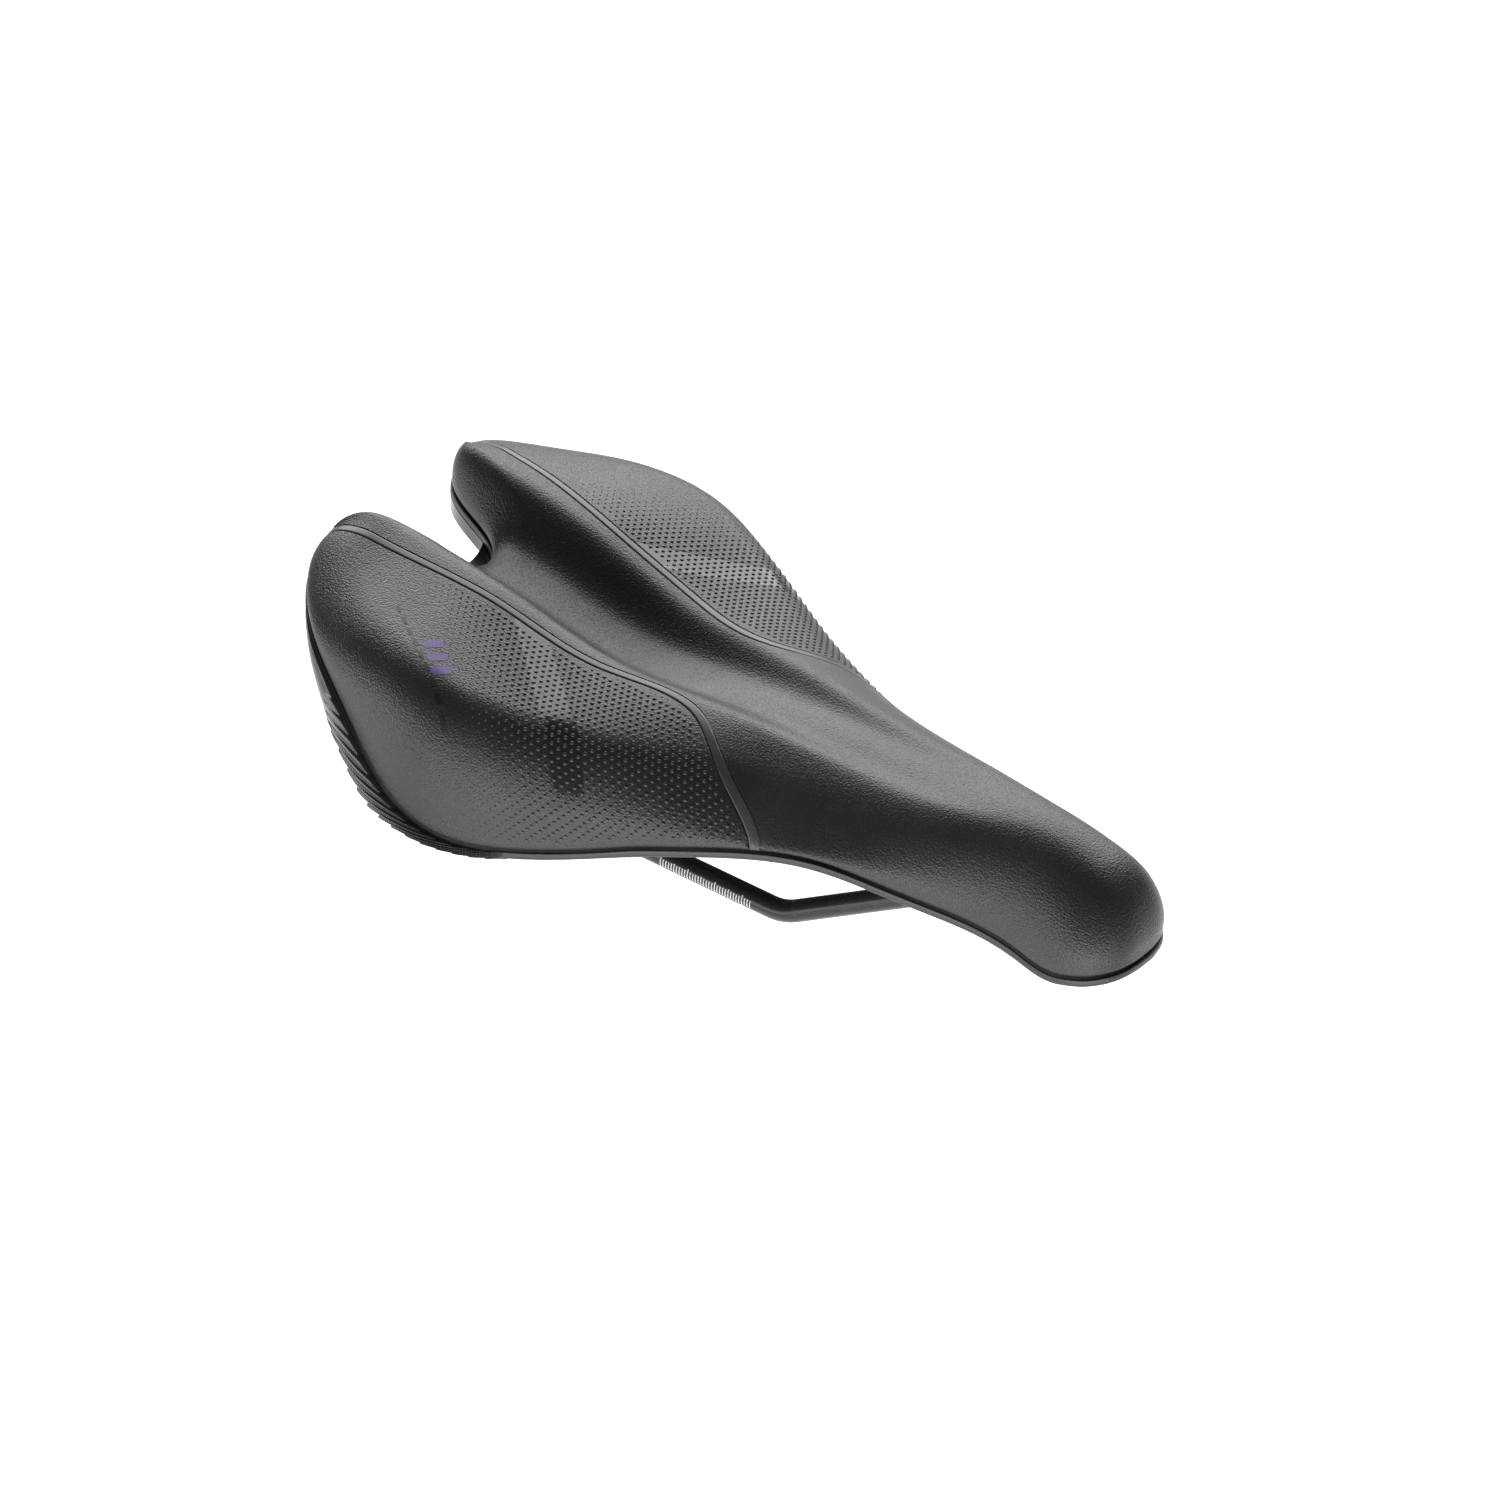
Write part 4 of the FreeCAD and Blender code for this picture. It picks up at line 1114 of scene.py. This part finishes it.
class Growth:
    """Geometry Nodes trees and the plain meshes they leave."""

    @staticmethod
    def apply(host: bpy.types.Object, tree: bpy.types.NodeTree, inputs: dict[str, object], name: str,
              material: bpy.types.Material) -> bpy.types.Object:
        """Run a tree on a host mesh and keep the result as a plain mesh.

        Args:
            host: Object whose mesh the tree reads; it loses the modifier again.
            tree: Geometry Nodes tree.
            inputs: Value of each named input.
            name: Name of the new piece.
            material: Finish of the new piece.

        Returns:
            The new piece.
        """
        modifier = host.modifiers.new("growth", "NODES")
        modifier.node_group = tree
        values = {**inputs, "Material": material}
        for item in tree.interface.items_tree:
            if item.item_type == "SOCKET" and item.in_out == "INPUT" and item.name in values:
                modifier[item.identifier] = values[item.name]
        graph = bpy.context.evaluated_depsgraph_get()
        mesh = bpy.data.meshes.new_from_object(host.evaluated_get(graph), depsgraph=graph)
        host.modifiers.remove(modifier)
        mesh.name = name
        mesh.polygons.foreach_set("use_smooth", [True] * len(mesh.polygons))
        piece = bpy.data.objects.new(name, mesh)
        bpy.context.scene.collection.objects.link(piece)
        return piece

    @cached_property
    def pips(self) -> bpy.types.NodeTree:
        """Hexagonal grid of pips over a mesh's texture map."""
        tree, graph, entry = group_tree(
            "pip_grid", "GeometryNodeTree",
            {"Geometry": "Geometry", "Pip": "Object", "Pitch": "Float", "Row pitch": "Float", "Map span": "Float",
             "Columns": "Int", "Rows": "Int", "Material": "Material"}, {"Geometry": "Geometry"})
        wide, deep = graph.minus(entry["Columns"], 1.0), graph.minus(entry["Rows"], 1.0)
        points = graph.out("GeometryNodeMeshGrid", {"Size X": wide, "Size Y": deep, "Vertices X": entry["Columns"],
                                                    "Vertices Y": entry["Rows"]})
        x, y, _ = graph.position()
        row = graph.math("ROUND", graph.plus(y, graph.times(deep, 0.5)))
        shift = graph.times(graph.math("MODULO", row, 2.0), 0.5)
        along = graph.plus(graph.plus(x, graph.times(wide, 0.5)), shift)
        u = graph.over(graph.times(along, entry["Pitch"]), entry["Map span"])
        v = graph.over(graph.times(row, entry["Row pitch"]), entry["Map span"])
        spot = graph.out("ShaderNodeCombineXYZ", {0: u, 1: v})
        flat = graph.out("GeometryNodeSetPosition", {"Geometry": points, "Position": spot})
        spot = graph.out("GeometryNodeInputPosition")
        uv = graph.named("UVMap", "FLOAT_VECTOR")
        values = {"position": graph.out("GeometryNodeInputPosition"),
                  "normal": graph.out("GeometryNodeInputNormal"), "size": graph.named("pip_size")}
        sampled = {}
        for key, value in values.items():
            kind = "FLOAT" if key == "size" else "FLOAT_VECTOR"
            node = graph.add("GeometryNodeSampleUVSurface", data_type=kind)
            sockets = {socket.identifier: socket for socket in node.inputs}
            for name, source in {"Mesh": entry["Geometry"], "Value": value, "Source UV Map": uv,
                                 "Sample UV": spot}.items():
                tree.links.new(source, sockets[name])
            flat = graph.out("GeometryNodeStoreNamedAttribute",
                             {"Geometry": flat, "Name": "at_" + key, "Value": node.outputs[0]},
                             data_type=kind, domain="POINT")
            sampled[key] = graph.named("at_" + key, kind)
        bare = graph.math("LESS_THAN", sampled["size"], SMALLEST_PIP)
        flat = graph.out("GeometryNodeDeleteGeometry", {"Geometry": flat, "Selection": bare}, domain="POINT")
        flat = graph.out("GeometryNodeSetPosition", {"Geometry": flat, "Position": sampled["position"]})
        turn = graph.out("FunctionNodeAlignRotationToVector", {"Vector": sampled["normal"]}, axis="Z")
        info = graph.add("GeometryNodeObjectInfo", {"Object": entry["Pip"]})
        copies = graph.out("GeometryNodeInstanceOnPoints", {"Points": flat, "Instance": info.outputs["Geometry"],
                                                            "Rotation": turn, "Scale": sampled["size"]})
        graph.finish(copies, entry["Material"])
        return tree

    @cached_property
    def ticks(self) -> bpy.types.NodeTree:
        """Scale marks wrapped round a bar that lies along X, longer at every fifth and tenth."""
        tree, graph, entry = group_tree(
            "bar_scale", "GeometryNodeTree",
            {"Geometry": "Geometry", "Count": "Int", "Spacing": "Float", "Start": "Vector", "Radius": "Float",
             "Turn": "Float", "Mark length": "Float", "Mark width": "Float", "Material": "Material"},
            {"Geometry": "Geometry"})
        step = graph.out("ShaderNodeCombineXYZ", {0: entry["Spacing"]})
        line = graph.out("GeometryNodeMeshLine", {"Count": entry["Count"], "Offset": step})
        mark = graph.out("GeometryNodeMeshGrid", {"Size X": entry["Mark width"], "Size Y": entry["Mark length"],
                                                  "Vertices X": 2, "Vertices Y": 9})
        index = graph.out("GeometryNodeInputIndex")
        length = 1.0
        for every in (5.0, 10.0):
            hit = graph.math("LESS_THAN", graph.math("MODULO", index, every), 0.5)
            length = graph.plus(length, graph.times(hit, LONGER_MARK))
        scale = graph.out("ShaderNodeCombineXYZ", {0: 1.0, 1: length, 2: 1.0})
        copies = graph.out("GeometryNodeInstanceOnPoints", {"Points": line, "Instance": mark, "Scale": scale})
        real = graph.out("GeometryNodeRealizeInstances", {"Geometry": copies})
        x, y, _ = graph.position()
        angle = graph.plus(entry["Turn"], graph.over(y, entry["Radius"]))
        across, height = (graph.times(entry["Radius"], graph.math(way, angle)) for way in ("COSINE", "SINE"))
        wrapped = graph.out("ShaderNodeCombineXYZ", {0: x, 1: across, 2: height})
        placed = graph.out("GeometryNodeSetPosition", {"Geometry": real,
                                                       "Position": graph.vector("ADD", wrapped, entry["Start"])})
        graph.finish(placed, entry["Material"])
        return tree

    @cached_property
    def scales(self) -> bpy.types.NodeTree:
        """Overlapping slanted scales raised along a swept strip."""
        tree, graph, entry = group_tree(
            "slanted_scales", "GeometryNodeTree",
            {"Geometry": "Geometry", "Pitch": "Float", "Slant": "Float", "Rise": "Float", "Material": "Material"},
            {"Geometry": "Geometry"})
        slanted = graph.minus(graph.named("run"), graph.times(graph.named("down"), entry["Slant"]))
        tooth = graph.math("FRACT", graph.over(slanted, entry["Pitch"]))
        lip = graph.math("MINIMUM", tooth, graph.times(graph.minus(1.0, tooth), LIP_STEEPNESS))
        rise = graph.times(graph.times(lip, graph.named("scaled")), entry["Rise"])
        offset = graph.scaled(graph.named("outward", "FLOAT_VECTOR"), rise)
        moved = graph.out("GeometryNodeSetPosition", {"Geometry": entry["Geometry"], "Offset": offset})
        graph.finish(moved, entry["Material"])
        return tree


GROWTH = Growth()


@dataclass(frozen=True)
class PipField:
    """Raised pips on a side panel."""

    pitch: float = 2.28
    radius: float = 0.68
    height: float = 0.36
    columns: int = 84
    rows: int = 76
    sides: int = 8
    rings: tuple = ((1.0, -0.2), (0.86, 0.36), (0.62, 0.72), (0.32, 0.93))

    def dome(self) -> bpy.types.Object:
        """Low dome that every pip copies."""
        around = np.linspace(0.0, 2 * math.pi, self.sides, endpoint=False)
        points = [(self.radius * r * math.cos(a), self.radius * r * math.sin(a), self.height * z)
                  for r, z in self.rings for a in around]
        faces = grid_faces(len(self.rings), self.sides, wrap_columns=True)
        crown = len(points)
        points.append((0.0, 0.0, self.height))
        last = crown - self.sides
        faces += [(last + k, last + (k + 1) % self.sides, crown) for k in range(self.sides)]
        return mesh_object("pip_dome", np.array(points), faces)

    def build(self, panel: bpy.types.Object, side: Side, material: bpy.types.Material) -> bpy.types.Object:
        """Grow the pips of one panel, before the panel is declared to the frame."""
        dome = self.dome()
        inputs = {"Pip": dome, "Pitch": self.pitch, "Row pitch": self.pitch * math.sqrt(3) / 2,
                  "Map span": UV_SPAN, "Columns": self.columns, "Rows": self.rows}
        piece = GROWTH.apply(panel, GROWTH.pips, inputs, f"side_panel_{side.label}_pips", material)
        bpy.data.objects.remove(dome)
        return piece


@dataclass(frozen=True)
class CornerGuard:
    """Glossy guard under the rim at a rear outer corner, with slanted scales.

    The tables give values against the distance along the left half outline.
    """

    form: SaddleForm
    start: float = 200.0
    stop: float = 300.0
    depths: tuple = ((200, 2.8), (217, 3.2), (228, 4.6), (234, 6.0), (240, 8.4), (246, 11.2), (252, 12.8),
                     (264, 12.8), (269, 12.0), (274, 10.2), (280, 8.0), (286, 5.6), (292, 3.4), (300, 2.8))
    stand_outs: tuple = ((200, 0.35), (217, 1.1), (235, 2.0), (262, 2.3), (280, 1.8), (292, 0.9), (300, 0.35))
    scaled: tuple = ((200, 0.0), (208, 0.8), (222, 1.0), (256, 1.0), (266, 0.6), (272, 0.0), (300, 0.0))
    step: float = 0.3
    inner: float = 4.0
    pitch: float = 5.0
    slant: float = 22.0
    rise: float = 0.95
    gap: float = 0.35
    brow: float = 0.15
    face_rows: int = 26
    first_share: float = 0.04
    bulge_from: float = 0.12
    bulge_span: float = 0.62
    tuck: float = 0.35

    def section(self, depth: float, stand_out: float) -> np.ndarray:
        """Closed outline of the guard across its run: outward, down and share of the way down."""
        outer = [(self.brow, self.gap, 0.0)]
        for share in np.linspace(self.first_share, 1.0, self.face_rows):
            angle = math.pi * min(share * self.bulge_span + self.bulge_from, 1.0)
            bulge = stand_out * math.sin(angle) ** 0.6 * (1.0 - self.tuck * share ** 4)
            outer.append((bulge, self.gap + share * (depth - self.gap), share))
        lower = outer[-1][0]
        under = [(lower - 0.5, depth + 0.15, 1.0), (lower - 1.2, depth + 0.1, 1.0), (-self.inner, depth - 0.3, 1.0)]
        return np.array(outer + under + [(-self.inner, 1.2, 0.0), (-0.6, 0.5, 0.0)])

    def host(self, side: Side) -> bpy.types.Object:
        """Guard swept along the outline, with the values that its scales need."""
        half = self.form.left_half
        at = lengths(half)
        run = np.arange(self.start, self.stop, self.step)
        path = np.stack([np.interp(run, at, half[:, k]) for k in range(2)], axis=1)
        rim = self.form.rim_height(path) - self.form.shell_gap * 0.5
        inward = self.form.inward(path)
        depth, stand, share = (Profile(list(table))(run) for table in (self.depths, self.stand_outs, self.scaled))
        sections = np.stack([self.section(d, o) for d, o in zip(depth, stand)])
        plan = path[:, None, :] - inward[:, None, :] * sections[..., :1]
        points = np.concatenate([plan, (rim[:, None] - sections[..., 1])[..., None]], axis=2)
        rows, columns = points.shape[:2]
        outward = np.concatenate([-inward, np.zeros((rows, 1))], axis=1)
        outward = np.repeat(outward[:, None], columns, axis=1)
        left = side is Side.LEFT
        if not left:
            points, outward = points * MIRROR, outward * MIRROR
        faces = grid_faces(rows, columns, flip=left, wrap_columns=True)
        first, last = tuple(range(columns)), tuple((rows - 1) * columns + k for k in range(columns))
        faces += [first, last[::-1]] if left else [first[::-1], last]
        visible = np.zeros(columns)
        visible[1:self.face_rows + 2] = 1.0
        values = {"run": np.repeat(run, columns), "down": sections[..., 2].ravel(),
                  "scaled": (share[:, None] * visible[None]).ravel(), "outward": outward.reshape(-1, 3)}
        return mesh_object("guard_host", points.reshape(-1, 3), faces, values=values)

    def build(self, side: Side, material: bpy.types.Material) -> None:
        """Raise the scales on the swept guard."""
        host = self.host(side)
        piece = GROWTH.apply(host, GROWTH.scales, {"Pitch": self.pitch, "Slant": self.slant, "Rise": self.rise * MM},
                             f"corner_guard_{side.label}", material)
        bpy.data.objects.remove(host)
        tidy_mesh(piece)
        declare(piece, material, f"corner_bumper_{side.label}")


@dataclass(frozen=True)
class ShellRim:
    """Rounded lip along the shell's edge, under the cover."""

    form: SaddleForm
    depth: float = 2.3
    stand_out: float = 0.4
    inner: float = 1.6
    gap: float = 0.55
    rows: int = 460

    def build(self, material: bpy.types.Material) -> None:
        """Sweep the lip round the whole outline."""
        half = resample(self.form.left_half, self.rows)
        half[[0, -1], 1] = 0.0
        inward = self.form.inward(half)
        rim = self.form.rim_height(half) - self.gap
        turn = np.linspace(0.0, math.pi, 11)
        bulge = np.column_stack([self.stand_out * np.sin(turn) ** 0.5, self.depth * (1 - np.cos(turn)) / 2])
        section = np.vstack([bulge, [(-self.inner, self.depth - 0.2), (-self.inner, 0.4)]])
        plan = half[:, None] - inward[:, None] * section[None, :, :1]
        left = np.concatenate([plan, (rim[:, None] - section[None, :, 1])[..., None]], axis=2)
        loop = np.concatenate([left, left[1:-1][::-1] * MIRROR], axis=0)
        faces = grid_faces(len(loop), len(section), flip=True, wrap_rows=True, wrap_columns=True)
        declare(mesh_object("shell_rim_lip", loop.reshape(-1, 3), faces), material)


@dataclass(frozen=True)
class RailScale:
    """Printed millimetre scale on the outer side of a rail."""

    rail_y: float = 22.0
    radius: float = 3.5
    first_x: float = 5.0
    count: int = 34
    lift: float = 0.03
    mark_length: float = 2.6
    mark_width: float = 0.32
    turn_degrees: float = -2.0

    def build(self, side: Side, material: bpy.types.Material) -> None:
        """Grow the scale of one rail."""
        host = mesh_object("scale_host", np.zeros((3, 3)), [(0, 1, 2)])
        turn = math.radians(self.turn_degrees)
        inputs = {"Count": self.count, "Spacing": MM,
                  "Start": (self.first_x * MM, side.value * self.rail_y * MM, 0.0),
                  "Radius": (self.radius + self.lift) * MM, "Turn": turn if side is Side.LEFT else math.pi - turn,
                  "Mark length": self.mark_length * MM, "Mark width": self.mark_width * MM}
        piece = GROWTH.apply(host, GROWTH.ticks, inputs, f"rail_scale_{side.label}", material)
        bpy.data.objects.remove(host)
        declare(piece, material)


@dataclass(frozen=True)
class PatchRow:
    """Row of equal round-ended patches in plan, on the left-hand side before mirroring."""

    start: tuple[float, float]
    way: tuple[float, float]
    places: tuple[float, ...]
    along: tuple[float, float]
    length: float
    width: float


@dataclass(frozen=True)
class PanelMarks:
    """Plain printed bars, and dark patches of painted shade for the pressed dashes, on one side panel, in place of
    lettering.
    """

    form: SaddleForm
    lift: float = 0.07
    rows: int = 15
    columns: int = 7
    blunt: float = 0.12
    bars: PatchRow = PatchRow((-60.0, 56.5), (0.78, 0.62), (1.0, 6.4, 11.8), (0.62, -0.78), 6.6, 3.0)
    dashes: PatchRow = PatchRow((-76.0, 52.5), (0.85, 0.53), tuple(range(0, 42, 5)), (0.85, 0.53), 3.2, 1.2)

    def patch(self, centre: np.ndarray, row: PatchRow) -> np.ndarray:
        """Points of one round-ended patch lying on the cover."""
        way = np.array(row.along) / np.hypot(*row.along)
        across = np.array([-way[1], way[0]])
        plan = []
        for s in np.linspace(-0.5, 0.5, self.rows):
            past = max(0.0, (abs(s) - 0.5) * row.length / (row.width / 2) + 1.0)
            reach = max(math.sqrt(max(0.0, 1.0 - past ** 2)), self.blunt)
            plan.append([centre + way * s * row.length + across * t * row.width * reach
                         for t in np.linspace(-0.5, 0.5, self.columns)])
        grid = self.form.surface(np.array(plan))
        return (grid + CoverPiece.normals(grid) * self.lift).reshape(-1, 3) * MIRROR

    def gather(self, name: str, row: PatchRow, material: bpy.types.Material) -> None:
        """One piece from the patches of a row."""
        patches = [self.patch(np.array(row.start) + np.array(row.way) * place, row) for place in row.places]
        size = self.rows * self.columns
        faces = [quad for k in range(len(patches))
                 for quad in grid_faces(self.rows, self.columns, flip=True, offset=k * size)]
        declare(mesh_object(name, np.vstack(patches), faces), material)

    def build(self, finishes: Finishes) -> None:
        """Three bars and a row of dashes of painted shade on the right-hand panel."""
        self.gather("panel_bars_right", self.bars, finishes.mark)
        self.gather("panel_dashes_right", self.dashes, finishes.press)


@dataclass(frozen=True)
class FoamCore:
    """Foam between the shell and the cover."""

    form: SaddleForm
    inset: float = 2.2
    under_cover: float = 2.0
    over_shell: float = 0.05
    least: float = 0.5
    from_nose: float = 30.0
    from_notch: float = 12.0
    rows: int = 260
    columns: int = 40

    def build(self, material: bpy.types.Material) -> None:
        """Closed body inside the cover."""
        half = resample(self.form.left_half, self.rows)
        outer = half + self.form.inward(half) * self.inset
        outer[[0, -1], 1] = 0.0
        middle = np.linspace(self.form.nose_x - self.from_nose, self.form.notch_x + self.from_notch, self.rows)
        inner = np.column_stack([middle, np.zeros(self.rows)])
        plan = between(inner, outer, 1.0 - (1.0 - np.linspace(0.0, 1.0, self.columns)) ** 2)
        flat = plan.reshape(-1, 2)
        low = (self.form.shell_height(flat) + self.over_shell).reshape(plan.shape[:2])
        high = np.maximum((self.form.top(flat) - self.under_cover).reshape(plan.shape[:2]), low + self.least)
        upper, lower = (np.concatenate([plan, height[..., None]], axis=2) for height in (high, low))
        piece = both_halves("foam_core", np.concatenate([upper, lower[:, ::-1]], axis=1))
        tidy_mesh(piece, merge=1e-5)
        declare(piece, material, "foam_pad")


# ---------------------------------------------------------------- studio


@dataclass(frozen=True)
class SoftBox:
    """Soft rectangular light, with places and sizes in metres."""

    name: str
    place: tuple[float, float, float]
    aim: tuple[float, float, float]
    size: tuple[float, float]
    power: float


@dataclass(frozen=True)
class Studio:
    """Pale floor, soft lights and the camera."""

    azimuth: float = 33.57
    elevation: float = 34.07
    roll: float = 4.39
    distance: float = 1801.0
    aim_across: float = 13.6
    aim_up: float = 23.0
    lens: float = 144.7
    sensor: float = 36.0
    far: float = 60.0
    floor_drop: float = 760.0
    floor_reach: float = 14000.0
    sky: float = 0.1
    lights: tuple[SoftBox, ...] = (
        SoftBox("back_softbox", (-0.72, 1.08, 0.95), (0.0, 0.0, 0.0), (2.4, 1.3), 47.0),
        SoftBox("front_softbox", (0.5, -0.7, -0.27), (0.05, 0.0, 0.0), (1.5, 0.32), 7.5),
        SoftBox("side_softbox", (-0.85, -1.0, -0.1), (0.0, 0.0, 0.0), (1.4, 0.4), 5.5),
    )

    def camera(self) -> None:
        """Camera turned, raised and rolled about the clamp centre."""
        a, e, r = (math.radians(v) for v in (self.azimuth, self.elevation, self.roll))
        right = Vector((math.cos(a), math.sin(a), 0.0))
        back = Vector((math.sin(a) * math.cos(e), -math.cos(a) * math.cos(e), math.sin(e)))
        above = back.cross(right)
        across = right * math.cos(r) + above * math.sin(r)
        upward = above * math.cos(r) - right * math.sin(r)
        place = (back * self.distance + across * self.aim_across + upward * self.aim_up) * MM
        data = bpy.data.cameras.new("camera")
        data.lens = self.lens
        data.sensor_width = self.sensor
        data.clip_end = self.far
        view = bpy.data.objects.new("camera", data)
        turn = Matrix((across, upward, back)).transposed().to_4x4()
        view.matrix_world = Matrix.Translation(place) @ turn
        bpy.context.scene.collection.objects.link(view)
        bpy.context.scene.camera = view

    def light(self, box: SoftBox) -> None:
        """Add one light, out of the camera's sight."""
        data = bpy.data.lights.new(box.name, "AREA")
        data.shape = "RECTANGLE"
        data.size, data.size_y = box.size
        data.energy = box.power
        lamp = bpy.data.objects.new(box.name, data)
        turn = (Vector(box.aim) - Vector(box.place)).to_track_quat("-Z", "Y").to_matrix().to_4x4()
        lamp.matrix_world = Matrix.Translation(box.place) @ turn
        lamp.visible_camera = False
        bpy.context.scene.collection.objects.link(lamp)

    def floor(self, low: float) -> None:
        """Wide paper floor under the saddle.

        Args:
            low: Lowest height of the saddle in metres.
        """
        reach, height = self.floor_reach, low / MM - self.floor_drop
        places = [(x * reach, y * reach, height) for x, y in ((-1, -1), (1, -1), (1, 1), (-1, 1))]
        sheet = mesh_object("paper_floor", np.array(places), [(0, 1, 2, 3)])
        dress(sheet, PaperFinish("studio_paper", (0.86, 0.86, 0.86), 0.7).build())
        sheet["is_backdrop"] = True

    def build(self, low: float) -> None:
        """Set up the whole studio."""
        self.camera()
        self.floor(low)
        world = bpy.data.worlds.new("studio")
        world.use_nodes = True
        Graph(world.node_tree).fill(world.node_tree.nodes["Background"], {"Color": WHITE, "Strength": self.sky})
        bpy.context.scene.world = world
        bpy.context.scene.view_settings.view_transform = "Standard"
        for box in self.lights:
            self.light(box)


def build_saddle() -> None:
    """Build and dress every piece."""
    shell_low, shell_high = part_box("base_shell")
    form = SaddleForm(nose_x=shell_high[0] / MM, rear_x=shell_low[0] / MM, half_width=shell_high[1] / MM)
    LOG.info("form: nose %.1f rear %.1f half width %.1f", form.nose_x, form.rear_x, form.half_width)
    finishes = Finishes()
    cover = PaddedCover(form, finishes)
    panels = cover.panels()
    pips = [PipField().build(panels[side], side, finishes.pip) for side in Side]
    cover.build(panels)
    for piece in pips:
        declare(piece, finishes.pip)
    for side in Side:
        CornerGuard(form).build(side, finishes.bumper)
        RailScale().build(side, finishes.tick)
    PanelMarks(form).build(finishes)
    FoamCore(form).build(finishes.foam)
    ShellRim(form).build(finishes.shell)
    plain = {"base_shell": finishes.shell, "rear_yoke": finishes.gloss, "nose_clip": finishes.collar,
             "nose_clip_screws": finishes.screw, "collar_screws": finishes.screw, "bumper_screws": finishes.screw}
    for side in Side:
        plain[f"rail_{side.label}"] = finishes.rail
        plain[f"rail_bush_{side.label}"] = finishes.rubber
        plain[f"rail_collar_{side.label}"] = finishes.collar
        plain[f"gel_insert_{side.label}"] = finishes.gel
    for name, material in plain.items():
        dress(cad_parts[name], material)
        LOG.info("%s dressed", name)


def corners(bounds: object) -> list:
    """Bounds as plain lists."""
    return [[float(v) for v in corner] for corner in bounds]


def main() -> None:
    """Build the scene and measure its bounds."""
    logging.basicConfig(level=logging.INFO, format="%(message)s")
    sizes = {"cad": corners(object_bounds())}
    build_saddle()
    Studio().build(sizes["cad"][0][2])
    bpy.context.view_layer.update()
    sizes["visual"] = corners(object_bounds())


if __name__ == "__main__":
    main()
